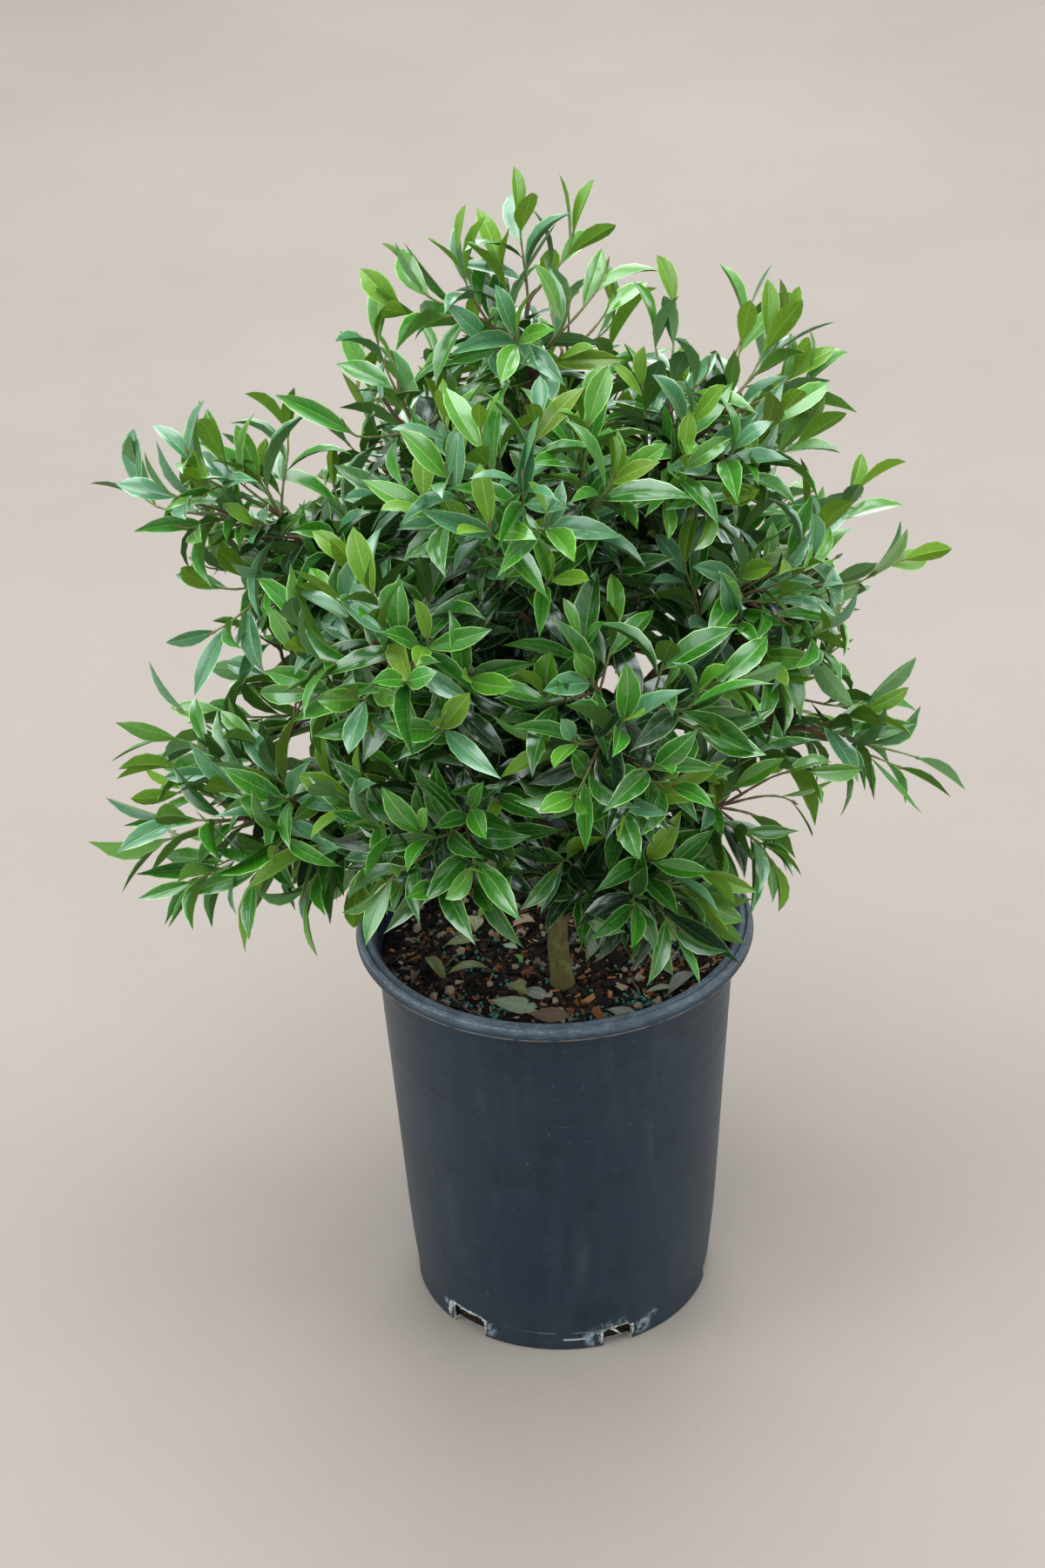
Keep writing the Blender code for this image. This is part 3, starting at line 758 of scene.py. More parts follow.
def grow_mass(crown, name, entry, heading, radius, masses, leaders, draw):
    """A main twig through the mass, side twigs off it, and shoots off each side twig's end.

    A main twig whose end would lie in an opening is cut back to its last side twig.
    """
    centre = masses[name].mean(0)
    tips, inner = shoot_tips(name, masses, draw)
    upright = np.full(len(tips), np.nan)
    if len(leaders):
        alone = np.maximum(leaders[:, 3], exposure(leaders[:, :3])) * 0.55 + 0.85
        away = np.linalg.norm(tips[:, None] - leaders[None, :, :3], axis=2)
        clear = (away > SHOOT_PITCH * alone).all(1)
        tips = np.vstack([tips[clear], leaders[:, :3]])
        inner = np.append(inner[clear], np.zeros(len(leaders), bool))
        upright = np.append(upright[clear], leaders[:, 3])
    forward = unit(centre - entry)
    depth = ((tips - entry) @ forward).max()
    end = centre + forward * (depth - np.linalg.norm(centre - entry)) * 0.35
    main = bowed(entry, heading, end, unit(forward + 0.3 * UP))
    place, last = len(crown.limbs), 0
    crown.limbs.append((main, (radius, MAIN_TWIG_TIP), OLD_WOOD))
    share = np.linspace(0.0, 1.0, 25)
    line, slopes = (part[0] for part in curves_at(main[None], share))
    for group in sprays(tips, draw):
        middle = tips[group].mean(0)
        ahead = ((middle - entry) @ forward - 0.050) / depth
        spot = int(np.clip(ahead + draw.normal(0.0, 0.06), 0.06, 1.0) * 24)
        last = max(last, spot)
        start, along = line[spot], slopes[spot]
        toward = middle - start
        fork = start + toward * draw.uniform(0.32, 0.46) + draw.normal(0.0, 0.004, 3)
        leave = unit(0.55 * along + unit(toward) + draw.normal(0.0, 0.15, 3))
        thick = 0.0011 + 0.00018 * len(group)
        twig = bowed(start, leave, fork, unit(toward + 0.02 * UP))
        crown.limbs.append((twig, (thick + 0.0003, thick), SIDE_TWIG))
        for k in group:
            tip = tips[k]
            outward = unit((tip - centre) + 0.4 * (tip - np.array([0.0, 0.0, 0.55])))
            height = (tip[2] - SKIRT_LEVEL) / CROWN_RISE
            rise = np.clip(0.25 + 0.75 * height + draw.normal(0.0, 0.16), 0.0, 1.0)
            rise = rise if np.isnan(upright[k]) else upright[k]
            end_way = unit(outward * (1.15 - rise) + UP * (rise - 0.12))
            begin = unit(unit(tip - fork) + 0.5 * unit(toward) + draw.normal(0.0, 0.18, 3))
            route = bowed(fork, begin, tip, end_way, 0.33)
            fresh = np.clip(0.12 + 0.62 * height + draw.normal(0.0, 0.22)
                            + (-0.45 if inner[k] else 0.16), 0.0, 1.0)
            crown.shoots.append((route, SHOOT_RADII, name, fresh))
    if not in_the_clear(main[None, 3:]):
        kept = share[last]
        radii = radius, radius + (MAIN_TWIG_TIP - radius) * kept
        crown.limbs[place] = first_part(main, kept), radii, OLD_WOOD


def fill_hollows(crown, masses, trunk, boughs):
    """Late growth: from the nearest wood a twig reaches into each hollow and ends in three
    shoots. Wood straight below a hollow counts as nearer than wood above it."""
    draw = np.random.default_rng(LATE_TWIG_SEED)
    wood, _ = curves_at(np.array([row[0] for row in crown.limbs]), np.linspace(0.1, 1.0, 10))
    wood = np.vstack([wood.reshape(-1, 3), trunk] + [line for line, _ in boughs.values()])
    names = list(masses)
    centres = np.array([masses[name].mean(0) for name in names])
    for spot in np.array(HOLLOWS) / MM:
        toward = spot - wood
        away = np.linalg.norm(toward, axis=1)
        nearest = np.where(away < 0.030, 1.0, away - 0.4 * toward[:, 2]).argmin()
        start, toward = wood[nearest], toward[nearest]
        ahead = unit(toward)
        fork = start + toward * 0.5
        twig = bowed(start, unit(ahead + draw.normal(0.0, 0.25, 3)), fork, unit(ahead + 0.1 * UP))
        crown.limbs.append((twig, (0.0017, 0.0013), LATE_TWIG))
        level = unit(np.cross(ahead, UP) + 1e-6)
        above = np.cross(level, ahead)
        mass = names[np.linalg.norm(centres - spot, axis=1).argmin()]
        first = draw.uniform(0.0, TURN)
        for turn in first + np.arange(3) * 2.1:
            tip = spot + 0.019 * (math.cos(turn) * level + math.sin(turn) * above)
            tip = tip + 0.008 * ahead + draw.normal(0.0, 0.004, 3)
            end_way = unit(unit(tip - fork) + 0.35 * UP)
            route = bowed(fork, unit(tip - fork + 0.02 * ahead), tip, end_way, 0.33)
            # Shoots deep in the crown's middle get lower freshness, so their leaves take darker
            # tones as painted shade.
            outer = (np.hypot(tip[0], tip[1]) - 0.12) / 0.12
            fresh = np.clip(0.08 + 0.45 * outer + draw.normal(0.0, 0.12), 0.0, 0.7)
            if in_the_clear(tip[None, None]).all():
                crown.late.append((route, SHOOT_RADII, mass, fresh))


def grow_crown():
    """Every mass's twigs and shoots, from the ends of the boughs and of the leader."""
    crown = Crown()
    masses = {n[8:]: corners_of(n) for n in sorted(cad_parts) if n.startswith("foliage_")}
    trunk, trunk_radii = centre_line("trunk", 0.0085, (0.005, -0.041, 0.28))
    centres = {name: corners.mean(0) for name, corners in masses.items()}
    rows = np.array(LEADERS) / [MM, MM, MM, 1.0]
    owner = np.array([min(centres, key=lambda n: np.linalg.norm(centres[n] - row[:3]))
                      for row in rows])
    boughs = {}
    for index, name in enumerate(masses):
        draw = np.random.default_rng(MASS_SEED + index)
        line, radii = trunk, trunk_radii
        if "bough_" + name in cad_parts:
            foot = trunk[np.abs(trunk[:, 2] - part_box("bough_" + name)[0].z).argmin()]
            line, radii = boughs[name] = centre_line("bough_" + name, 0.0052, foot)
        heading = unit(line[-1] - line[-2])
        grow_mass(crown, name, line[-1], heading, radii[-1] * 0.92, masses,
                  rows[owner == name], draw)
    fill_hollows(crown, masses, trunk, boughs)
    return crown, masses, trunk, trunk_radii, boughs


# ---- wood -------------------------------------------------------------------

def bark_finish(name, colour, pale, dark, rough=0.72):
    """Smooth bark: long soft streaks, small pores, and paler scuffed patches."""
    made = Finish(name, colour, Roughness=rough)
    long_way = made.place((1.0, 1.0, 0.18))
    streak = made.noise(long_way, 420.0, 4.0, 0.6)
    patch = made.noise(made.place(), 70.0, 4.0, 0.55)
    pore = made.noise(made.place((1.0, 1.0, 0.6)), 900.0, 1.0)
    pitted = pore.under(0.26, 0.36)
    shade = made.coats(dark, (streak.over(0.30, 0.72), colour),
                       (patch.over(0.48, 0.70) * 0.7, pale),
                       (pitted * 0.8, tuple(0.25 * c for c in dark)))
    made.surface(shade, 0.85 - patch * 0.25, streak * 0.6 + patch * 0.5 - pitted * 0.5, 0.0006, 0.7)
    return made


def add_tubes(name, slot, routes, finish, sharp=70.0):
    """One piece of round tubes, from tubes' corners, faces and chart."""
    verts, faces, charts = routes
    return add_piece(name, slot, verts, faces, [finish], charts={"OFBake": charts}, sharp=sharp)


STEM_RISE = 0.52            # height over which the stem's relief is spread
STEM_SCARS = 34


def add_stem(trunk, radii):
    """The stem: its CAD route and taper, with long ridges, scars, and a collar at its foot."""
    sides, rings = 40, 260
    route, share = resampled(trunk, rings)
    known = np.linspace(0.0, 1.0, len(radii))
    radius = np.interp(share, known, radii)
    angle = TURN * np.arange(sides) / sides
    height = share[:, None] * STEM_RISE
    spot = polar(0.0076, angle, height * 0.35)
    ridge = ripple(spot, 0.0052, 31) * 0.00022 + ripple(spot * [1, 1, 2.6], 0.0016, 32) * 0.00010
    knots = np.zeros((rings, sides))
    draw = np.random.default_rng(33)
    for _ in range(STEM_SCARS):
        at, way = draw.uniform(0.0, 0.55), draw.uniform(0.0, TURN)
        gap = np.hypot((height - at * STEM_RISE) / 0.0032,
                       ((angle - way + math.pi) % TURN - math.pi)[None] / 0.55)
        knots += draw.uniform(0.0002, 0.0006) * np.exp(-gap ** 2)
    collar = 0.0007 * np.exp(-((height - 0.004) / 0.006) ** 2)
    full = radius[:, None] + ridge + knots + collar
    verts, faces, _ = tubes(route[None], full[None], sides)
    finish = bark_finish("bark_tan", (0.186, 0.152, 0.044), (0.280, 0.236, 0.084),
                         (0.096, 0.076, 0.021))
    thing = add_piece("stem", "stem_bark", verts, faces, [finish], sharp=70.0)
    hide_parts("trunk")


def add_boughs(boughs):
    """Each bough runs from inside the stem, through a swollen collar, to where its twigs
    start, with a slight node every 31 mm."""
    rings, sides = 44, 14
    routes, widths = [], []
    for name, (line, radii) in boughs.items():
        ahead = unit(line[1] - line[0])
        inside = line[0] - ahead * 0.006
        route, share = resampled(np.vstack([inside, line]), rings)
        way = share * np.linalg.norm(np.diff(route, axis=0), axis=1).sum()
        width = np.interp(share, np.linspace(0, 1, len(radii)), radii)
        collar = 0.0016 * np.exp(-(way / 0.009) ** 2)
        nodes = 0.00045 * np.exp(-((way % 0.031 - 0.015) / 0.0016) ** 2)
        routes.append(route)
        widths.append(width + collar + nodes)
    routes, widths = np.array(routes), np.array(widths)
    angle = TURN * np.arange(sides) / sides
    spot = routes[:, :, None, :] + polar(0.004, angle, 0.0)
    relief = ripple(spot * [1, 1, 0.6], 0.0045, 41) * 0.00022
    verts, faces, _ = tubes(routes, widths[:, :, None] + relief, sides)
    finish = bark_finish("bark_brown", (0.120, 0.070, 0.036), (0.190, 0.130, 0.080),
                         (0.050, 0.026, 0.014))
    thing = add_piece("boughs", "bough_bark", verts, faces, [finish], sharp=70.0)
    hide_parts(*["bough_" + name for name in boughs])


def twig_finish(name, colour, tip, dark, rough=0.62):
    """A thin stem, from its own chart: colour along its length, rings at nodes, pores."""
    made = Finish(name, colour, Roughness=rough)
    _, v = made.chart("OFBake")
    streak = made.chart_noise("OFBake", (22.0, 5.0), 4.0, 3.0)
    pore = made.chart_noise("OFBake", (30.0, 60.0), 2.0, 1.0)
    shade = made.coats(colour, (v.over(0.15, 0.85), tip), (streak.under(0.30, 0.62) * 0.45, dark),
                       ((v * 7.0).zigzag().under(0.02, 0.06) * 0.7, dark),
                       (pore.under(0.28, 0.36) * 0.6, tuple(0.5 * c for c in dark)))
    made.surface(shade, rough + (streak - 0.5) * 0.3, streak + pore * 0.4, 0.0003, 0.6)
    return made


TWIG_RINGS = 9


def tapered(rows):
    """Routes (n, rings, 3) and radii (n, rings) of twigs or shoots, narrowing evenly."""
    share = np.linspace(0.0, 1.0, TWIG_RINGS)
    points, _ = curves_at(np.array([row[0] for row in rows]), share)
    radii = np.array([row[1] for row in rows])
    return points, radii[:, :1] + (radii[:, 1:] - radii[:, :1]) * share


def add_twigs(crown):
    """Woody twigs, a little crooked, in one piece and this year's shoots in another."""
    points, radii = tapered(crown.limbs)
    points = points + ripple(points, 0.020, 51)[..., None] * 0.0006
    finish = twig_finish("twig_brown", (0.110, 0.056, 0.030), (0.125, 0.070, 0.036),
                         (0.040, 0.018, 0.010))
    add_tubes("twigs", "bough_bark", tubes(points, radii, 7), finish)
    points, radii = tapered(crown.shoots + crown.late)
    radii = radii * (1.0 + 0.16 * np.cos(np.arange(TWIG_RINGS) * math.pi))
    finish = twig_finish("shoot_green", (0.185, 0.120, 0.052), (0.230, 0.290, 0.080),
                         (0.110, 0.050, 0.024))
    add_tubes("shoots", "bough_bark", tubes(points, radii, 6), finish)


# ---- leaves and buds on the shoots ------------------------------------------

LEAF_LENGTH = 0.0535
LEAF_WIDTH = 0.0168
LEAF_PITCH = 0.0086         # along a shoot, and more on fresh and on outer ones
SHAPE_KEYS = ("base", "along", "face", "length", "width", "fold", "droop", "twist", "sway",
              "youth")
# Angle from the shoot in degrees and size, by the number of leaves from the tip.
FROM_TIP = (0, 1, 2, 4, 8)
OPEN_BY = (16, 30, 40, 52, 66)
TIP_SIZE = (0.82, 0.94, 1.0, 1.0, 0.84)
SPIRAL = 2.4                # turn from one leaf to the next, radians


def painted_light(points):
    """How much paler tone is painted on leaves for the light they get: 0 in the crown's middle,
    rising to 1 at its top and at either side, where light gets all round."""
    aside = (np.abs(points[:, 0]) - 0.06) / 0.11
    return np.clip(np.maximum(aside, (points[:, 2] - 0.63) / 0.10), 0.0, 1.0)


def tones_of(points, young, fresh, from_tip, high, draw):
    """Each leaf's tone: paler near the tip of a fresh shoot, and paler where light reaches as
    painted light; some lime leaves low down, a few olive ones, jade ones as painted sky sheen where
    the sky shines on them, and the darkest, ink, as painted shade deep inside."""
    count = len(points)
    # Light is painted into the tones: at the crown's top and sides leaves rank paler and darken
    # less away from their shoot's tip.
    painted_lit = painted_light(points)
    age = (young * 2.2 + fresh * 0.9 + 0.12 - 0.21 * (1.0 - 0.6 * painted_lit) * from_tip
           + draw.normal(0.0, 0.32, count))
    age_and_painted_light = age + 1.08 * painted_lit - 0.30
    tone = np.select([age > 2.86, age_and_painted_light > 1.75, age_and_painted_light > 0.30, age_and_painted_light > -0.72],
                     [LIME, FRESH, GRASS, BOTTLE], INK_SHADE)
    other = draw.random(count)
    tone = np.where((other < 0.09) & (from_tip < 3) & (points[:, 2] < 0.66), LIME, tone)
    tone = np.where(other < 0.012, OLIVE, tone)
    # Jade leaves stand for the sky's sheen: a bluer tone painted where light is painted in, more of
    # it on high shoots.
    painted_sky_sheen = other > 0.94 - (0.12 + 0.26 * high) * painted_lit
    return np.where(painted_sky_sheen & (tone > LIME) & (tone < INK_SHADE), JADE_SHEEN, tone)


def leaves_on_shoot(route, mass, fresh, draw):
    """Alternate leaves along one shoot."""
    reach = np.linalg.norm(np.diff(route, axis=0), axis=1).sum()
    apart = LEAF_PITCH + 0.0028 * fresh + 0.0022 * float(exposure(route[3]))
    count = int(np.clip(round(reach / apart), 6, 13))
    share = np.linspace(0.22, 0.985, count) ** 0.92
    share = np.clip(share + draw.normal(0.0, 0.012, count), 0.10, 0.995)
    points, slopes = (part[0] for part in curves_at(route[None], share))
    order = np.arange(count)
    from_tip = count - 1 - order
    level = unit(np.cross(slopes, UP) + 1e-6)
    above = np.cross(level, slopes)
    turn = draw.uniform(0.0, TURN) + order * SPIRAL + draw.normal(0.0, 0.25, count)
    flat = (0.42 + 0.58 * np.abs(slopes[:, 2]))[:, None]
    spoke = unit(np.cos(turn)[:, None] * level + flat * np.sin(turn)[:, None] * above)
    open_by = np.radians(np.interp(from_tip, FROM_TIP, OPEN_BY)
                         + draw.normal(0.0, 8.0, count)) * (1.0 - 0.22 * fresh)
    along = unit(np.cos(open_by)[:, None] * slopes + np.sin(open_by)[:, None] * spoke)
    outward = unit((points - HEART) * [1.0, 1.0, 0.6])
    light = unit(0.85 * UP + 0.62 * outward)
    natural = unit(slopes - (slopes * along).sum(-1, keepdims=True) * along)
    young = np.clip(fresh * 1.5 - 0.36 * from_tip, 0.0, 1.0)
    own = young[:, None]
    high = float(np.clip((route[3, 2] - SKIRT_LEVEL) / 0.15, 0.0, 1.0))
    face = unit(light * (0.85 - 0.60 * own) + natural * (0.65 + 0.60 * own)
                + draw.normal(0.0, 0.36, (count, 3)))
    size = np.interp(from_tip, FROM_TIP, TIP_SIZE) * draw.normal(1.0, 0.13, count).clip(0.62, 1.22)
    width = LEAF_WIDTH * size ** 0.75 * (1.0 + 0.04 * young)
    width = width * draw.normal(1.0, 0.08, count).clip(0.8, 1.2)
    tone = tones_of(points, young, fresh, from_tip, high, draw)
    fold = draw.normal(39.0, 8.0, count).clip(18, 56)
    droop = draw.normal(20.0 + 26.0 * high, 18.0, count).clip(-10, 90)
    return dict(base=points, along=along, face=face,
                length=LEAF_LENGTH * size * (1.0 - 0.20 * young),
                width=width, fold=np.radians(fold) * (1 - 0.30 * young),
                droop=np.radians(droop) * (1 - 0.6 * young),
                twist=np.radians(draw.normal(0.0, 13.0, count)),
                sway=np.radians(draw.normal(0.0, 11.0, count)),
                youth=young, tone=tone, mass=np.array([mass] * count))


def leaves_on_shoots(shoots, seed):
    """Leaves along every shoot, as arrays of bases, headings, faces and sizes."""
    draw = np.random.default_rng(seed)
    rows = [leaves_on_shoot(route, mass, fresh, draw) for route, _, mass, fresh in shoots]
    return {key: np.concatenate([row[key] for row in rows]) for key in rows[0]}, draw


def leaves_on_twigs(crown, draw):
    """A few older leaves along each side twig, inside the crown."""
    controls = np.array([row[0] for row in crown.limbs if row[2] == SIDE_TWIG])
    share = np.array([0.10, 0.22, 0.34, 0.45, 0.56, 0.67, 0.78, 0.88, 0.97])
    points, slopes = (part.reshape(-1, 3) for part in curves_at(controls, share))
    n = len(points)
    spoke = unit(np.cross(slopes, draw.normal(size=(n, 3))))
    open_by = np.radians(draw.normal(62.0, 10.0, n))[:, None]
    along = unit(np.cos(open_by) * slopes + np.sin(open_by) * spoke)
    outward = unit(points - HEART)
    face = unit(0.8 * UP + 0.5 * outward + draw.normal(0.0, 0.3, (n, 3)))
    size = draw.normal(0.92, 0.10, n).clip(0.65, 1.15)
    # Twig leaves take the near-black ink tone as painted shade inside the crown, and the bottle
    # tone more often where light is painted in.
    tone = np.where(draw.random(n) < 0.12 + 0.6 * painted_light(points), BOTTLE, INK_SHADE)
    fold, droop, twist, sway = (np.radians(draw.normal(middle, spread, n)) for middle, spread in
                                ((14.0, 5.0), (38.0, 15.0), (0.0, 12.0), (0.0, 7.0)))
    return dict(base=points, along=along, face=face, length=LEAF_LENGTH * size,
                width=LEAF_WIDTH * size ** 0.6, fold=fold, droop=droop, twist=twist, sway=sway,
                youth=np.zeros(n), tone=tone)


def add_foliage(crown, masses):
    """Leaves joined by tier, each piece standing for the CAD masses of its tier."""
    on_shoots, draw = leaves_on_shoots(crown.shoots, LEAF_SEED)
    on_twigs = leaves_on_twigs(crown, draw)
    on_late, _ = leaves_on_shoots(crown.late, LATE_LEAF_SEED)
    finishes = leaf_finishes()
    centres = np.array([masses[name].mean(0) for name in masses])
    away = np.linalg.norm(on_twigs["base"][:, None] - centres[None], axis=2)
    on_twigs["mass"] = np.array(list(masses))[away.argmin(1)]
    leaves = {key: np.concatenate([part[key] for part in (on_shoots, on_twigs, on_late)])
              for key in SHAPE_KEYS + ("tone", "mass")}
    corners = leaf_corners(*[leaves[key] for key in SHAPE_KEYS])
    midrib = [2 + 3 * ROW_CORNERS, 2 + 5 * ROW_CORNERS, LEAF_CORNERS - 1]
    clear = in_the_clear(corners[:, midrib])
    for tier in ("skirt", "middle", "shoulder", "crown"):
        mine = clear & np.char.startswith(leaves["mass"].astype(str), tier)
        piece = add_leaves("leaves_" + tier, "foliage", corners[mine], leaves["tone"][mine],
                           finishes)
        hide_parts(*["foliage_" + name for name in masses if name.startswith(tier)])


def bud_finish():
    """A bud's overlapping scales, green at its foot and reddish at its tip."""
    made = Finish("bud_scales", (0.16, 0.17, 0.05), Roughness=0.5)
    u, v = made.chart("OFBake")
    scale = (v * 3.0 + (u * 2.0).zigzag()).zigzag().under(0.03, 0.12)
    tint = made.chart_noise("OFBake", (3.0, 6.0), 2.0, 2.0)
    shade = made.coats((0.17, 0.20, 0.05), (v.over(0.35, 0.95), (0.20, 0.075, 0.035)),
                       (scale * 0.7, (0.07, 0.030, 0.014)),
                       (tint.over(0.45, 0.7) * 0.4, (0.26, 0.27, 0.10)))
    made.surface(shade, 0.42 + tint * 0.25, tint - scale * 0.8, 0.0004, 0.7)
    return made


BUD_STATIONS = np.array([-0.15, 0.12, 0.35, 0.65, 1.0])
BUD_FORM = np.array([0.6, 0.95, 1.0, 0.62, 0.06])


def add_buds(crown):
    """A pointed bud of overlapping scales at the end of each shoot."""
    ends, slopes = curves_at(np.array([row[0] for row in crown.shoots + crown.late]), [1.0])
    draw = np.random.default_rng(BUD_SEED)
    length = draw.uniform(0.0042, 0.0072, len(ends))
    plump = draw.uniform(0.0009, 0.0013, len(ends))
    points = ends + slopes * (BUD_STATIONS[None, :, None] * length[:, None, None])
    add_tubes("buds", "foliage", tubes(points, plump[:, None] * BUD_FORM, 6), bud_finish(), 60.0)


# ---- pot --------------------------------------------------------------------

POT_FOOT_RADIUS = 0.1099        # of the foot ring, with the notches through it
POT_BODY_FOOT = 0.1105
POT_BODY_TOP = 0.1295
POT_WALL = 0.002
WALL_FULL = 0.0018
POT_FLOOR = 0.003
FOOT_TOP = 0.0152
NOTCH_DEEP = 0.1015             # radius to which the floor is cut back
NOTCH_FOOT = 0.0022             # height from which a notch's rows follow its top
# Drainage notches: bearing and half width in degrees, the height of the top at either end,
# how far it is pushed out, and how ragged and whitened its edges are.
NOTCHES = ((-69.5, 5.8, 0.0158, 0.0168, 0.0004, 1.5), (-10.0, 6.8, 0.0150, 0.0156, 0.0001, 0.8),
           (50.0, 6.8, 0.0154, 0.0148, 0.0002, 0.7), (110.0, 6.8, 0.0150, 0.0152, 0.0001, 0.8),
           (170.0, 6.8, 0.0152, 0.0148, 0.0002, 0.9), (229.3, 8.0, 0.0190, 0.0184, 0.0013, 1.9))
STEP_BLEND = 0.030              # rows below this height rise over a tall notch
FAINT_RINGS = (0.2785, 0.2650, 0.2440, 0.2220)


def wall_at(z):
    """Outside radius of the tapering wall, a little full just above its foot."""
    share = np.clip((np.asarray(z) - 0.016) / 0.2865, 0.0, 1.0)
    full = WALL_FULL * np.sin(math.pi * np.minimum(share / 0.22, 1.0) * 0.5)
    full = full * (1.0 - share) ** 1.5
    return POT_BODY_FOOT + (POT_BODY_TOP - POT_BODY_FOOT) * share + full


# The lip's section from the wall outwards, over and back in: radius, height.
LIP = ((0.1294, 0.3012), (0.1297, 0.3022), (0.1306, 0.3027), (0.1395, 0.3024), (0.1417, 0.3022),
       (0.1425, 0.3025), (0.1428, 0.3032), (0.1427, 0.3040), (0.1424, 0.3052), (0.1421, 0.3068),
       (0.1417, 0.3084), (0.1411, 0.3098), (0.1404, 0.3109), (0.1396, 0.3116), (0.1390, 0.3117),
       (0.1384, 0.3114), (0.1380, 0.3108), (0.1378, 0.3103), (0.1375, 0.3102), (0.1371, 0.3105),
       (0.1366, 0.3112), (0.1358, 0.3117), (0.1346, 0.3119), (0.1335, 0.3117), (0.1327, 0.3111),
       (0.1318, 0.3100), (0.1309, 0.3086), (0.1302, 0.3072), (0.1295, 0.3054), (0.1284, 0.3035),
       (0.1279, 0.3015))
INSIDE_HEIGHTS = (0.2998, 0.2990, 0.2982, 0.2920, 0.2852, 0.2844, 0.2836, 0.2760, 0.22, 0.15,
                  0.08, 0.03, 0.0166)
INSIDE_RINGS = (0.2990, 0.2844)


def pot_rows():
    """The pot's section as rows (radius, height, share of the notch's height)."""
    foot, inside = POT_FOOT_RADIUS, POT_FOOT_RADIUS - POT_WALL
    rows = [(NOTCH_DEEP, 0.0, 0), (foot - 0.0020, 0.0, 0), (foot - 0.0006, 0.0006, 0),
            (foot, NOTCH_FOOT, 0)]
    rows += [(foot, 0.0, k) for k in (0.35, 0.7, 1.0)]
    top_of_notch = len(rows) - 1
    rows += [(foot, FOOT_TOP, 0), (foot + 0.0004, FOOT_TOP + 0.0006, 0),
             (POT_BODY_FOOT + 0.0001, FOOT_TOP + 0.0012, 0),
             (POT_BODY_FOOT + 0.0002, FOOT_TOP + 0.0022, 0)]
    heights = [np.linspace(0.022, 0.298, 30)] + [[z - 0.0011, z, z + 0.0011] for z in FAINT_RINGS]
    for z in np.unique(np.concatenate(heights).round(5)):
        ring = 0.00012 * max(np.exp(-((z - k) / 0.0008) ** 2) for k in FAINT_RINGS)
        rows.append((float(wall_at(z)) + ring, float(z), 0))
    rows += [(r, z, 0) for r, z in LIP]
    for z in INSIDE_HEIGHTS:
        ring = 0.00025 if z in INSIDE_RINGS else 0.0
        rows.append((float(wall_at(z)) - POT_WALL - ring, z, 0))
    notch_inside = len(rows)
    rows += [(inside, 0.0, 1.0), (inside, 0.0, 0.6), (inside, POT_FLOOR, 0),
             (NOTCH_DEEP, POT_FLOOR, 0)]
    return np.array(rows), top_of_notch, notch_inside


def arch_at(place, first, last):
    """Height of a notch's top at a place across it, from -1 to 1: a slope with round ends."""
    return first + (last - first) * (0.5 + 0.5 * place) - 0.0030 * place ** 6


def pot_columns():
    """For each column: its bearing, its place in a notch (-1 to 1, or nan), the notch's top
    there, how far it is pushed out, and how ragged it is."""
    inside, outside = 14, 22
    rows = []
    for k, (middle, half, first, last, push, torn) in enumerate(NOTCHES):
        after = NOTCHES[(k + 1) % len(NOTCHES)]
        end = after[0] - after[1] + (360.0 if k == len(NOTCHES) - 1 else 0.0)
        for place in np.linspace(-1.0, 1.0, inside + 1):
            rows.append((middle + half * place, place, arch_at(place, first, last),
                         push * (1.0 - place ** 2), torn))
        for bearing in np.linspace(middle + half, end, outside + 1)[1:-1]:
            rows.append((bearing, np.nan, FOOT_TOP - 0.001, 0.0, 0.0))
    bearing, place, top, push, ragged = np.array(rows).T
    return np.radians(bearing), place, top, push, ragged


# Scuffed patches low on the pot: middle, reach and strength.
SCUFFS = (((-0.0570, -0.0935, 0.0095), 0.0090, 0.90), ((0.0215, -0.1073, 0.0105), 0.0115, 0.95),
          ((0.0565, -0.0935, 0.0100), 0.0095, 0.85), ((0.0640, -0.0895, 0.0155), 0.0070, 0.65),
          ((-0.0850, -0.0690, 0.0130), 0.0085, 0.95), ((0.0300, -0.1040, 0.0185), 0.0090, 0.60),
          ((0.0420, -0.1005, 0.0200), 0.0070, 0.45))
# Pale rings in the lip, scratches with painted highlight on them: radius and half width.
LIP_SCORES_AND_GLINTS = ((0.1396, 0.0004), (0.1412, 0.0003), (0.1348, 0.0004))


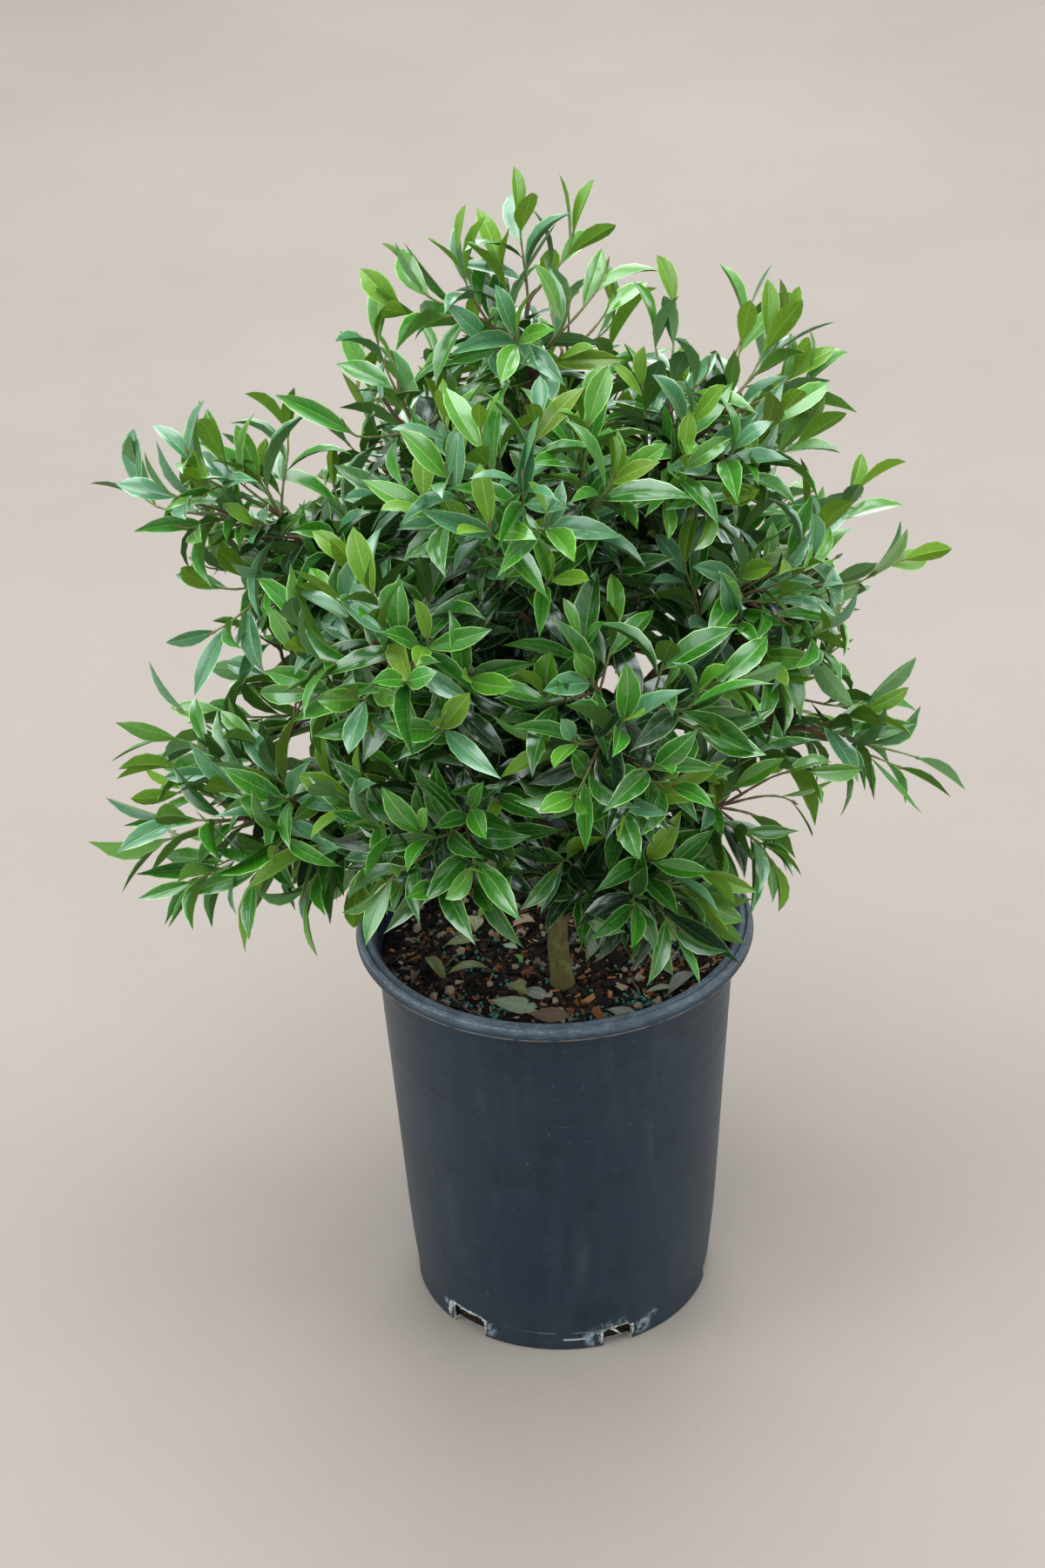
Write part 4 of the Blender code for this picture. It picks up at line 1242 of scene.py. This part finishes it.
def pot_finish():
    """Charcoal plastic: fine vertical drawing, dust, smears, scratches and scuffs low down,
    a lighter left side that is dust and painted light, painted shade in the faint rings, a gouge
    by the right front notch, and a worn, scored lip, its paler top and rings partly painted
    highlight."""
    made = Finish("pot_plastic", (0.015, 0.030, 0.045), Roughness=0.45, Specular_IOR_Level=0.30)
    spot = made.place()
    x, y, z = made.split(spot)
    cloud = made.noise(spot, 9.0, 5.0, 0.6)
    drawn = made.noise(made.place((1.0, 1.0, 0.06)), 120.0, 3.0, 0.5)
    speck = made.noise(spot, 620.0, 2.0, 0.6)
    scuff = made.noise(made.place((1.0, 1.0, 3.0)), 60.0, 6.0, 0.72)
    scratch = made.noise(made.place((0.45, 0.45, 7.0)), 80.0, 3.0, 0.5)
    torn = made.noise(spot, 210.0, 5.0, 0.65)
    smear = made.noise(made.place((1.0, 1.0, 0.20)), 42.0, 4.0, 0.6)
    smudge = made.noise(spot, 24.0, 4.0, 0.6)
    grit = made.noise(spot, 330.0, 1.0)
    low = z.under(0.004, 0.070)
    # The left band lightens the wall on the left side, fading out towards the lip: dust, and
    # painted light on that side.
    left = x.under(-0.125, -0.055) * z.under(0.10, 0.30)
    dust_and_left_light = cloud.over(0.45, 0.75) * 0.14 + low * 0.14 + left * 0.10
    wiped = abs(x - z * 0.32 + 0.012).under(0.002, 0.011) * z.under(0.10, 0.16)
    shade = made.coats(
        (0.0110, 0.0250, 0.0405), (drawn.over(0.30, 0.75), (0.0145, 0.0300, 0.0470)),
        (dust_and_left_light * (0.4 + drawn * 0.4), (0.080, 0.074, 0.064)),
        (smudge.over(0.52, 0.68) * 0.45, (0.006, 0.013, 0.021)),
        (smear.over(0.50, 0.70) * 0.16, (0.070, 0.088, 0.105)),
        (wiped * smear.over(0.40, 0.60) * 0.14, (0.090, 0.115, 0.135)),
        (scuff.over(0.66, 0.78) * 0.22, (0.10, 0.12, 0.14)),
        (grit.over(0.74, 0.80) * 0.35, (0.16, 0.19, 0.21)),
        (scratch.over(0.70, 0.74) * 0.20, (0.16, 0.18, 0.20)),
        (speck.over(0.62, 0.80) * 0.22, (0.085, 0.098, 0.110)))
    for middle, reach, strength in SCUFFS:
        away = made.node("ShaderNodeVectorMath", {"operation": "DISTANCE"},
                         {0: spot, 1: middle}, "Value")
        patch = away.under(reach * 0.35, reach) * torn.over(0.42, 0.58)
        shade = made.mix(patch * strength, shade, (0.27, 0.34, 0.39))
    front = y.under(-0.104, -0.100)
    step = abs(z - 0.0163).under(0.0003, 0.0010) * scuff.over(0.44, 0.58)
    gouge = abs(z - 0.0100).under(0.0005, 0.0011) * abs(x - 0.0068).under(0.0075, 0.0092)
    gouge = gouge * y.under(-0.106, -0.104) * torn.over(0.28, 0.42)
    shade = made.coats(shade, (step * front * 0.65, (0.30, 0.31, 0.31)),
                       (gouge * 0.9, (0.46, 0.47, 0.46)))
    # Dark lines along the faint rings: painted shade in the shallow grooves.
    for line in FAINT_RINGS:
        ring = abs(z - line).under(0.0003, 0.0008) * scuff.over(0.30, 0.55)
        shade = made.mix(ring * 0.40, shade, (0.006, 0.011, 0.016))
    # The lip's top is lighter and bluer as it rises: wear, and a painted highlight of the sky.
    rim = z.over(0.3030, 0.3042)
    wear_and_highlight = made.mix(scuff.over(0.40, 0.62), (0.060, 0.084, 0.109), (0.112, 0.153, 0.191))
    shade = made.coats(shade, (rim * z.over(0.3036, 0.3092), wear_and_highlight),
                       (rim * scratch.over(0.60, 0.70) * 0.5, (0.17, 0.19, 0.21)))
    reach = (x * x + y * y) ** 0.5
    for line, wide in LIP_SCORES_AND_GLINTS:
        scored_and_glint = abs(reach - line).under(wide * 0.5, wide) * rim * torn.over(0.44, 0.56)
        # The rings show most at the front left, where their painted highlight lies.
        scored_and_glint = scored_and_glint * (0.15 + x.under(-0.02, 0.05) * y.under(-0.08, 0.0) * 0.40)
        shade = made.mix(scored_and_glint, shade, (0.34, 0.33, 0.30))
    under_lip = z.over(0.3022, 0.3026) * z.under(0.3034, 0.3042) * scuff.over(0.38, 0.55)
    shade = made.mix(under_lip * 0.75, shade, (0.22, 0.20, 0.17))
    rough = 0.30 + dust_and_left_light * 0.4 + drawn * 0.10 + rim * 0.06 + smear * 0.08
    made.surface(shade, rough, drawn * 0.3 + speck * 0.15 + scuff * 0.4, 0.00035, 0.45)
    return made


def torn_finish():
    """Torn plastic at the notches: whitened by stretching, dirty in places."""
    made = Finish("torn_plastic", (0.40, 0.42, 0.40), Roughness=0.7)
    spot = made.place()
    blotch = made.noise(spot, 260.0, 4.0, 0.6)
    fibre = made.noise(spot, 1400.0, 2.0, 0.6)
    shade = made.coats((0.110, 0.130, 0.145), (blotch.over(0.36, 0.56), (0.58, 0.60, 0.55)),
                       (fibre * 0.4, (0.34, 0.33, 0.27)))
    made.surface(shade, 0.55 + fibre * 0.3, blotch + fibre * 0.5, 0.0006, 0.8)
    return made


def add_pot():
    """The pot turned from its section, with ragged drainage arches through the foot.

    Every corner is (radius(row, column), bearing(column), height(row, column)). Between a
    notch's two sides the rows that it reaches follow its arched top, and the cells
    below the arch are left out and walled round.
    """
    rows, notch_top, notch_inside = pot_rows()
    bearing, place, arch, push, ragged = pot_columns()
    count, wide = len(rows), len(bearing)
    draw = np.random.default_rng(81)
    ragged = ragged * (np.abs(np.nan_to_num(place, nan=1.0)) < 0.98)
    arch = arch + draw.normal(0.0, 0.00045, wide) * ragged
    up_notch = NOTCH_FOOT + rows[:, 2:] * (arch[None] - NOTCH_FOOT)
    height = rows[:, 1:2] + np.where(rows[:, 2:] > 0, up_notch, 0.0)
    base = FOOT_TOP - 0.0003
    risen = arch + (height - base) * (STEP_BLEND - arch) / (STEP_BLEND - base)
    over_notch = ~np.isnan(place) & (rows[:, 1:2] >= FOOT_TOP) & (rows[:, 1:2] < STEP_BLEND)
    height = np.where(over_notch, risen, height)
    radius = np.repeat(rows[:, :1], wide, 1) + push * np.exp(-((height - arch) / 0.003) ** 2)
    radius = radius + 0.00018 * np.sin(3 * bearing + 1.0)[None] * (rows[:, 1:2] > 0.05)
    verts = polar(radius, bearing, height)
    edge = np.concatenate([verts.reshape(-1, 3), [[0, 0, 0.0], [0, 0, POT_FLOOR]]])
    index, after = ring_grid(count, wide)
    cells = np.stack([index[:-1], after[:-1], after[1:], index[1:]], -1)
    step = np.append(place[1:], place[0])
    in_notch = ~np.isnan(place) & ~np.isnan(step) & (place < 1.0)
    gone = np.zeros((count - 1, wide), bool)
    gone[:notch_top] = in_notch
    gone[notch_inside:] = in_notch
    pole_low, pole_high = count * wide, count * wide + 1
    low = np.stack([np.full(wide, pole_low), after[0], index[0]], -1)
    high = np.stack([np.full(wide, pole_high), index[-1], after[-1]], -1)
    opened = np.flatnonzero(in_notch)
    lintel = np.stack([index[notch_top, opened], after[notch_top, opened],
                       after[notch_inside, opened], index[notch_inside, opened]], -1)
    heel = np.stack([index[0, opened], after[0, opened], after[-1, opened], index[-1, opened]], -1)
    section = list(range(notch_top + 1)) + list(range(notch_inside, count))
    left = index[section][:, np.flatnonzero(place == -1.0)].T
    right = index[section][:, np.flatnonzero(place == 1.0)].T
    faces = [cells[~gone], low, high, lintel, heel, left, right]
    kinds = [np.full(len(f), int(3 <= k)) for k, f in enumerate(faces)]
    lips = np.zeros((count - 1, wide), int)
    lips[notch_top:notch_top + 2] = in_notch
    kinds[0] = lips[~gone]
    piece = add_piece("nursery_pot", "pot_plastic", edge, faces, [pot_finish(), torn_finish()],
                      kinds, sharp=50.0, outward=True)
    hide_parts("pot")


# Torn strips at the front notches: bearing, radius and height of either end, and thickness.
STRIPS = ((-74.2, 0.1090, 0.0158, -67.2, 0.1070, 0.0042, 0.00095),
          (-139.3, 0.1096, 0.0195, -139.9, 0.1102, 0.0030, 0.00165),
          (-138.8, 0.1110, 0.0200, -123.4, 0.1106, 0.0188, 0.00090),
          (-122.0, 0.1099, 0.0170, -122.3, 0.1098, 0.0030, 0.00080),
          (-75.9, 0.1099, 0.0156, -76.2, 0.1098, 0.0030, 0.00085),
          (-63.4, 0.1098, 0.0160, -63.2, 0.1098, 0.0040, 0.00070))


def add_burrs():
    """Curled, whitened edges round the notches, and torn strips at the front ones."""
    routes, widths = [], []
    draw = np.random.default_rng(82)
    rings = 40
    t = np.linspace(0.0, 1.0, rings)
    trace = np.stack([t, t, t], -1) * 0.1
    for k, (middle, half, first, last, push, ragged) in enumerate(NOTCHES):
        # Up one side, over the arch and down the other.
        x = np.clip((t - 0.5) * 3.1, -1.0, 1.0)
        rise = np.interp(np.abs(t - 0.5), [0.5 / 1.55, 0.5], [1.0, 0.05])
        z = 0.0006 + (arch_at(x, first, last) - 0.0006) * rise
        out = POT_FOOT_RADIUS - 0.0004 + push * (1.0 - x ** 2)
        out = out + draw.normal(0.0, 0.00016, rings) * ragged
        routes.append(polar(out, np.radians(middle + half * x), z))
        overhead = np.clip(rise * 2.0 - 1.0, 0.25, 1.0)
        thick = 0.00024 + 0.00055 * np.abs(ripple(trace, 0.010, 83 + k))
        widths.append(thick * ragged * overhead)
    for k, (turn, out, low, end_turn, end_out, high, thick) in enumerate(STRIPS):
        bearing = np.radians(turn + (end_turn - turn) * t ** 0.7 + draw.normal(0.0, 0.12, rings))
        reach = out + (end_out - out) * t + 0.0010 * np.sin(math.pi * t)
        routes.append(polar(reach, bearing, low + (high - low) * t ** 1.3))
        taper = np.sin(math.pi * (0.12 + 0.82 * t))
        widths.append(thick * taper * (0.8 + 0.5 * np.abs(ripple(trace, 0.016, 90 + k))))
    verts, faces, _ = tubes(np.array(routes), np.array(widths), 7)
    add_piece("notch_edges", "pot_plastic", verts, faces, [torn_finish()], sharp=60.0)


# ---- potting mix ------------------------------------------------------------

MIX_LEVEL = 0.2800
MIX_RADIUS = 0.1252
STEM_FOOT = np.array([0.005, -0.041])


def mix_surface(x, y):
    """Height of the crumbly surface: long swells, lumps and grains, level at the stem."""
    spot = np.stack(np.broadcast_arrays(x, y, 0.0), -1)
    away = np.hypot(x - STEM_FOOT[0], y - STEM_FOOT[1])
    calm = np.clip((away - 0.008) / 0.03, 0.15, 1.0)
    swell = 0.0012 * ripple(spot, 0.060, 91)
    lumps = 0.0011 * ripple(spot, 0.011, 92) + 0.0007 * ripple(spot, 0.0048, 93)
    return MIX_LEVEL + calm * (swell + lumps)


def laid(x, y, above):
    """Points that far above the mix's surface."""
    return np.stack([x, y, mix_surface(x, y) + above], -1)


def mix_finish():
    """Dark composted bark with russet flecks and pale grains."""
    made = Finish("bark_mix", (0.022, 0.015, 0.011), Roughness=0.95, Specular_IOR_Level=0.15)
    spot = made.place()
    lump = made.noise(spot, 230.0, 4.0, 0.6)
    grain = made.noise(spot, 900.0, 3.0, 0.6)
    fleck = made.noise(spot, 480.0, 1.0)
    shade = made.coats((0.006, 0.005, 0.0045), (lump.over(0.35, 0.65), (0.036, 0.025, 0.018)),
                       (fleck.over(0.61, 0.68) * 0.8, (0.230, 0.095, 0.036)),
                       (grain.over(0.64, 0.72) * 0.6, (0.25, 0.19, 0.13)))
    made.surface(shade, 0.80 + grain * 0.2, lump + grain * 0.6, 0.0018, 0.9)
    return made


MIX_BASE = 0.0035
MIX_SIDES = ((0.1220, 0.20), (0.1150, 0.10), (0.1080, 0.019), (0.1045, MIX_BASE))


def add_mix():
    """The mix as one closed body: its crumbled top on a polar grid, its sides and base below."""
    rings, wide = 66, 240
    bearing = TURN * np.arange(wide) / wide
    reach = MIX_RADIUS * np.linspace(0.0, 1.0, rings + 1)[1:] ** 0.85
    top = laid(reach[:, None] * np.cos(bearing), reach[:, None] * np.sin(bearing), 0.0)
    out, low = (part[:, None] for part in np.array(MIX_SIDES).T)
    sides = polar(out, bearing, low)
    grid = np.concatenate([top, sides])
    count = len(grid)
    verts = np.concatenate([grid.reshape(-1, 3), laid(np.zeros(1), np.zeros(1), 0.0),
                            [[0.0, 0.0, MIX_BASE]]])
    index, after = ring_grid(count, wide)
    cells = np.stack([index[:-1], index[1:], after[1:], after[:-1]], -1).reshape(-1, 4)
    first = np.stack([np.full(wide, count * wide), index[0], after[0]], -1)
    last = np.stack([np.full(wide, count * wide + 1), after[-1], index[-1]], -1)
    piece = add_piece("potting_mix_top", "potting_mix", verts, [cells, first, last],
                      [mix_finish()], sharp=80.0)
    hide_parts("potting_mix")


def on_mix(count, draw, spread):
    """Random spots on the mix: even over its disc."""
    reach = MIX_RADIUS * spread * np.sqrt(draw.random(count))
    turn = draw.uniform(0.0, TURN, count)
    return reach * np.cos(turn), reach * np.sin(turn)


def frames_on_mix(count, draw, tilt):
    """Random axes, mostly lying flat: along, across and up for each of count bits."""
    turn = draw.uniform(0.0, TURN, count)
    lean = draw.normal(0, tilt, count), draw.normal(0, tilt, count)
    up = unit(np.stack([*lean, np.ones(count)], -1))
    along = polar(1.0, turn, 0.0)
    along = unit(along - (along * up).sum(-1, keepdims=True) * up)
    return along, np.cross(up, along), up


def on_axes(centres, local, axes):
    """Bits' corners given along their own axes, put in place."""
    return centres[:, None] + np.einsum("nkc,ncd->nkd", local, np.stack(axes, 1))


BOX_FACES = np.array([(0, 2, 3, 1), (4, 5, 7, 6), (0, 1, 5, 4), (2, 6, 7, 3), (0, 4, 6, 2),
                      (1, 3, 7, 5)])


def chip_finish(name, colour, pale, dark, rough=0.85):
    """A chip of bark or stone, from its chart: dark grain along it and paler blotches."""
    made = Finish(name, colour, Roughness=rough, Specular_IOR_Level=0.22)
    grain = made.chart_noise("OFBake", (60.0, 9.0), 2.0, 3.0)
    blot = made.chart_noise("OFBake", (14.0, 14.0), 1.5, 2.0)
    shade = made.coats(dark, (grain.over(0.30, 0.70), colour), (blot.over(0.50, 0.70) * 0.8, pale))
    made.surface(shade, rough - 0.12 + grain * 0.2, grain, 0.0004, 0.7)
    return made


# Chips' tones: share of the chips, colour, paler blotches, dark grain. Russet and ginger
# chips are the shorter ones.
RUSSET, GINGER = 2, 3
CHIP_TONES = (
    ("black", 0.49, (0.012, 0.010, 0.008), (0.036, 0.028, 0.022), (0.005, 0.004, 0.004)),
    ("umber", 0.20, (0.050, 0.030, 0.020), (0.100, 0.064, 0.042), (0.018, 0.011, 0.008)),
    ("russet", 0.13, (0.300, 0.105, 0.036), (0.420, 0.190, 0.078), (0.150, 0.050, 0.020)),
    ("ginger", 0.08, (0.560, 0.250, 0.095), (0.660, 0.360, 0.170), (0.320, 0.125, 0.048)),
    ("tan", 0.05, (0.560, 0.440, 0.290), (0.680, 0.570, 0.420), (0.310, 0.230, 0.150)),
    ("grey", 0.05, (0.210, 0.200, 0.180), (0.330, 0.310, 0.280), (0.090, 0.086, 0.080)),
)
CHIPS = 3300


def add_chips():
    """Bark chips and slivers on the mix: boxes with narrow, uneven ends, in six tones."""
    draw = np.random.default_rng(95)
    x, y = on_mix(CHIPS, draw, 0.985)
    axes = frames_on_mix(CHIPS, draw, 0.35)
    kind = draw.choice(len(CHIP_TONES), CHIPS, p=[row[1] for row in CHIP_TONES])
    long = draw.lognormal(math.log(0.0046), 0.45, CHIPS).clip(0.0018, 0.0150)
    long = np.where((kind == RUSSET) | (kind == GINGER), 0.85 * long, long)
    wide = long * draw.uniform(0.18, 0.62, CHIPS)
    thick = wide * draw.uniform(0.25, 0.60, CHIPS)
    sign = np.array([[a, b, c] for c in (-1, 1) for b in (-1, 1) for a in (-1, 1)], float)
    size = np.stack([long, wide, thick], -1)[:, None, :] * 0.5
    local = sign[None] * size * (1.0 + draw.normal(0.0, 0.22, (CHIPS, len(sign), 3)))
    local[:, :, 1] *= 1.0 - 0.30 * (sign[:, 0] > 0) * draw.random((CHIPS, 1))
    z = mix_surface(x, y) + thick * draw.uniform(0.1, 0.7, CHIPS) + 0.0004
    verts = on_axes(np.stack([x, y, z], -1), local, axes)
    faces = (np.arange(CHIPS)[:, None, None] * len(sign) + BOX_FACES[None]).reshape(-1, 4)
    finishes = [chip_finish("chip_" + name, *colours) for name, _, *colours in CHIP_TONES]
    square = np.array([(0.0, 0.0), (0.0, 1.0), (1.0, 1.0), (1.0, 0.0)]) * 0.9 + 0.05
    kinds = np.repeat(kind, len(BOX_FACES))
    step = 1.0 / len(CHIP_TONES)
    cell = square[None] * [step, 1.0] + kinds[:, None, None] * [step, 0.0]
    add_piece("bark_chips", "potting_mix", verts.reshape(-1, 3), [faces], finishes, [kinds],
              {"OFBake": [cell]}, sharp=20.0)


def ball(rings, sides):
    """A small round ball's corners on the unit sphere, and its faces, poles closed."""
    slope = np.linspace(-0.5, 0.5, rings + 2)[1:-1] * math.pi
    turn = TURN * np.arange(sides) / sides
    body = polar(np.cos(slope)[:, None], turn, np.sin(slope)[:, None]).reshape(-1, 3)
    verts = np.concatenate([body, [[0, 0, -1], [0, 0, 1]]])
    index, after = ring_grid(rings, sides)
    walls = np.stack([index[:-1], after[:-1], after[1:], index[1:]], -1).reshape(-1, 4)
    low = np.stack([np.full(sides, rings * sides), after[0], index[0]], -1)
    high = np.stack([np.full(sides, rings * sides + 1), index[-1], after[-1]], -1)
    return verts, [walls, low, high]


def scattered_balls(name, centres, sizes, seed, finish, rough, sharp):
    """Many small rounded bits in one piece, each a ball stretched and dented its own way."""
    draw = np.random.default_rng(seed)
    form, faces = ball(4, 8)
    n = len(centres)
    axes = frames_on_mix(n, draw, 0.5)
    local = form[None] * sizes[:, None, :] * (1.0 + draw.normal(0.0, rough, (n, len(form), 1)))
    verts = on_axes(centres, local, axes)
    base = (np.arange(n) * len(form))[:, None, None]
    faces = [(base + f[None]).reshape(-1, f.shape[1]) for f in faces]
    charts = [(form[f % len(form)] * 0.49 + 0.5)[..., :2] for f in faces]
    add_piece(name, "potting_mix", verts.reshape(-1, 3), faces, [finish],
              charts={"OFBake": charts}, sharp=sharp)


# Where the prills lie close: middle, spread and how many.
PRILL_DRIFTS = ((0.096, 0.004, 0.009, 44), (0.060, -0.066, 0.010, 40), (-0.065, -0.060, 0.013, 26),
                (-0.044, -0.076, 0.009, 18), (0.027, -0.083, 0.010, 22), (-0.060, 0.010, 0.018, 20),
                (-0.040, -0.030, 0.022, 26), (0.060, 0.050, 0.030, 20))
PRILLS_STRAY, GRIT = 80, 120


def add_prills():
    """Coated fertiliser prills in drifts and singly, and pale grit among the bark."""
    draw = np.random.default_rng(96)
    x, y = on_mix(PRILLS_STRAY, draw, 0.95)
    for cx, cy, spread, count in PRILL_DRIFTS:
        x = np.append(x, cx + draw.normal(0, spread, count))
        y = np.append(y, cy + draw.normal(0, spread * 0.7, count))
    off_stem = np.hypot(x - STEM_FOOT[0], y - STEM_FOOT[1]) > 0.011
    kept = (np.hypot(x, y) < MIX_RADIUS * 0.97) & off_stem
    x, y = x[kept], y[kept]
    size = draw.uniform(0.0011, 0.0016, len(x))
    centres = laid(x, y, size * 0.75)
    teal = Finish("prill_teal", (0.020, 0.200, 0.160), Roughness=0.45)
    dapple = teal.chart_noise("OFBake", (1.0, 1.0), 6.0, 3.0)
    shade = teal.mix(dapple.over(0.35, 0.7), (0.010, 0.150, 0.120), (0.060, 0.330, 0.250))
    teal.give("Base Color", shade)
    teal.give("Roughness", 0.35 + dapple * 0.3)
    scattered_balls("prills", centres, np.repeat(size[:, None], 3, 1), 97, teal, 0.02, 60.0)
    x, y = on_mix(GRIT, draw, 0.94)
    size = draw.uniform(0.0012, 0.0036, (GRIT, 1)) * draw.uniform(0.7, 1.2, (GRIT, 3))
    stone = chip_finish("grit_stone", (0.460, 0.370, 0.240), (0.620, 0.520, 0.370),
                        (0.250, 0.190, 0.120))
    scattered_balls("grit", laid(x, y, size[:, 2] * 0.5), size, 98, stone, 0.14, 25.0)


# Fallen leaves: place in metres, bearing and tilt in degrees, length and width in
# millimetres, droop and fold in degrees, and tone.
FALLEN = (
    (-0.078, -0.031, 12, 34, 40, 13, 88, 16, 0), (-0.048, -0.061, 336, 9, 44, 17, 34, 13, 1),
    (-0.080, 0.007, 20, 12, 33, 15, 40, 18, 0), (-0.058, 0.046, 275, 38, 30, 13, 60, 12, 5),
    (-0.037, -0.047, 330, 16, 22, 10, 40, 38, 0), (-0.025, -0.051, 326, 10, 24, 11, 30, 20, 4),
    (-0.020, -0.082, 350, 8, 30, 15, 20, 10, 2), (-0.031, 0.029, 40, 18, 25, 13, 70, 28, 3),
    (-0.094, -0.004, 297, 20, 34, 12, 60, 38, 0), (-0.103, -0.042, 74, 24, 28, 9, 95, 40, 2),
    (0.078, -0.064, 58, 16, 46, 15, 50, 26, 4), (0.062, -0.060, 20, 12, 26, 12, 30, 20, 1),
    (-0.038, 0.007, 320, 22, 15, 8, 30, 12, 6), (-0.029, -0.006, 285, 30, 16, 7, 50, 30, 7),
    (0.022, -0.018, 60, 44, 34, 15, 20, 10, 1), (-0.012, 0.052, 60, 26, 22, 10, 80, 30, 3),
    (0.034, -0.078, 350, 6, 28, 12, 20, 12, 4), (0.040, 0.072, 80, 10, 42, 15, 55, 18, 0),
    (-0.060, 0.070, 130, 10, 40, 14, 65, 20, 2), (0.000, 0.098, 10, 6, 38, 14, 45, 15, 3),
    (0.088, 0.030, 300, 12, 36, 13, 60, 22, 2), (0.050, 0.020, 160, 14, 34, 13, 55, 20, 1),
)
DRY_TONES = (("olive", (0.175, 0.195, 0.070)), ("sage", (0.245, 0.285, 0.190)),
             ("brown", (0.150, 0.098, 0.060)), ("pink", (0.520, 0.330, 0.230)),
             ("grey", (0.200, 0.215, 0.180)), ("straw", (0.400, 0.380, 0.200)),
             ("mint", (0.340, 0.480, 0.280)), ("leek", (0.160, 0.330, 0.070)))


def add_fallen_leaves():
    """Shed leaves lying on the mix, curled by drying."""
    x, y, bearing, tilt, length, width, droop, fold, tone = np.array(FALLEN).T
    draw = np.random.default_rng(99)
    n = len(x)
    turn, tilt = np.radians(bearing), np.radians(tilt)
    along = polar(np.cos(tilt), turn, np.sin(tilt))
    face = UP + draw.normal(0.0, 0.18, (n, 3))
    corners = leaf_corners(laid(x, y, 0.0035), along, face, length * 1e-3, width * 1e-3,
                           np.radians(fold), np.radians(droop * 1.25),
                           np.radians(draw.normal(0, 22, n)),
                           np.radians(draw.normal(0, 12, n)), np.full(n, 0.3))
    upper, lower = [], []
    for name, colour in DRY_TONES:
        pale, rib, edge = (tuple(min(k * v + 0.01, 1.0) for v in colour) for k in (1.35, 1.6, 0.75))
        upper.append(leaf_finish("dry_" + name, colour, pale, rib, edge, 0.65, gloss=0.05))
        lower.append(leaf_finish("dry_back_" + name, edge, colour, pale, edge, 0.8, lower=True))
    add_leaves("fallen_leaves", "potting_mix", corners, tone.astype(int), upper + lower)


# Dead twig ends on the mix: foot, bearing in degrees, length.
TWIGLETS = ((-0.058, -0.082, 125, 0.034), (0.030, -0.092, 20, 0.022), (-0.080, -0.020, 60, 0.026),
            (0.070, 0.010, 160, 0.030), (-0.020, 0.060, 40, 0.028), (0.058, -0.058, 100, 0.020))


def add_twiglets():
    """A few dead twig ends lying on the mix, each slightly bent."""
    draw = np.random.default_rng(103)
    x, y, turn, length = np.array(TWIGLETS).T
    turn, n = np.radians(turn), len(x)
    way = polar(1.0, turn, 0.04)
    start = laid(x, y, 0.0028)
    length = length[:, None]
    bend = draw.normal(0.0, 0.0016, (n, 3)) * [1, 1, 0.4]
    controls = np.stack([start, start + way * length * 0.33 + bend,
                         start + way * length * 0.66 - bend, start + way * length], 1)
    share = np.linspace(0, 1, 12)
    points, _ = curves_at(controls, share)
    radii = np.broadcast_to(0.0009 - 0.0004 * share, points.shape[:2])
    finish = twig_finish("twig_dead", (0.150, 0.105, 0.070), (0.210, 0.160, 0.110),
                         (0.060, 0.038, 0.024), 0.8)
    add_tubes("twiglets", "potting_mix", tubes(points, radii, 7), finish)


# ---- stage and light --------------------------------------------------------

FLOOR_HALF = 9.0
# Lamps: name, size, power, place, and what they point at.
LAMPS = (
    ("lamp_high", 3.0, 106.0, (-0.05, -0.2, 3.4), (0.0, 0.0, 0.45)),
    ("lamp_back", 3.0, 92.0, (0.2, 3.0, 2.6), (0.0, 0.0, 0.50)),
    ("lamp_front", 2.8, 42.0, (-0.3, -3.4, 2.9), (0.0, 0.0, 0.40)),
    ("lamp_left", 2.6, 62.0, (-3.4, -0.8, 1.9), (0.0, 0.0, 0.45)),
    ("lamp_right", 2.6, 56.0, (3.4, -0.8, 1.9), (0.0, 0.0, 0.45)),
)


def add_floor():
    """A pale, level floor."""
    made = Finish("floor_pale", (0.338, 0.287, 0.247), Roughness=0.9)
    cloud = made.noise(made.place(), 1.2, 5.0, 0.6)
    grain = made.noise(made.place(), 160.0, 4.0, 0.6)
    shade = made.coats((0.325, 0.275, 0.236), (cloud.over(0.3, 0.7), (0.364, 0.309, 0.268)),
                       (grain * 0.35, (0.296, 0.250, 0.212)))
    made.give("Base Color", shade)
    made.bump(grain, 0.0010, 0.3)
    verts = np.array([(-1, -1, 0), (1, -1, 0), (1, 1, 0), (-1, 1, 0)]) * FLOOR_HALF
    thing = add_piece("floor", None, verts, [np.array([(0, 1, 2, 3)])], [made])


def add_light():
    """Soft overcast light: a bluish white sky and large lamps overhead and all round."""
    world = bpy.data.worlds.new("sky")
    bpy.context.scene.world = world
    world.use_nodes = True
    sky = world.node_tree.nodes["Background"]
    sky.inputs["Color"].default_value = (0.88, 0.95, 1.0, 1.0)
    sky.inputs["Strength"].default_value = 0.62
    for name, size, energy, spot, target in LAMPS:
        lamp = bpy.data.lights.new(name, "AREA")
        lamp.shape = "DISK"
        lamp.size = size
        lamp.energy = energy
        lamp.color = (0.90, 0.96, 1.0)
        thing = bpy.data.objects.new(name, lamp)
        thing.visible_camera = False
        ahead = unit(np.array(target) - np.array(spot))
        side = unit(np.cross(ahead, UP))
        thing.matrix_world = placed(side, np.cross(side, ahead), ahead, spot)
        bpy.context.scene.collection.objects.link(thing)
    bpy.context.scene.view_settings.view_transform = "Standard"


# ---- the whole plant --------------------------------------------------------

place_camera()
add_light()
add_floor()
add_pot()
add_burrs()
add_mix()
add_chips()
add_prills()
add_fallen_leaves()
add_twiglets()
crown, masses, trunk, trunk_radii, boughs = grow_crown()
add_stem(trunk, trunk_radii)
add_boughs(boughs)
add_twigs(crown)
add_foliage(crown, masses)
add_buds(crown)
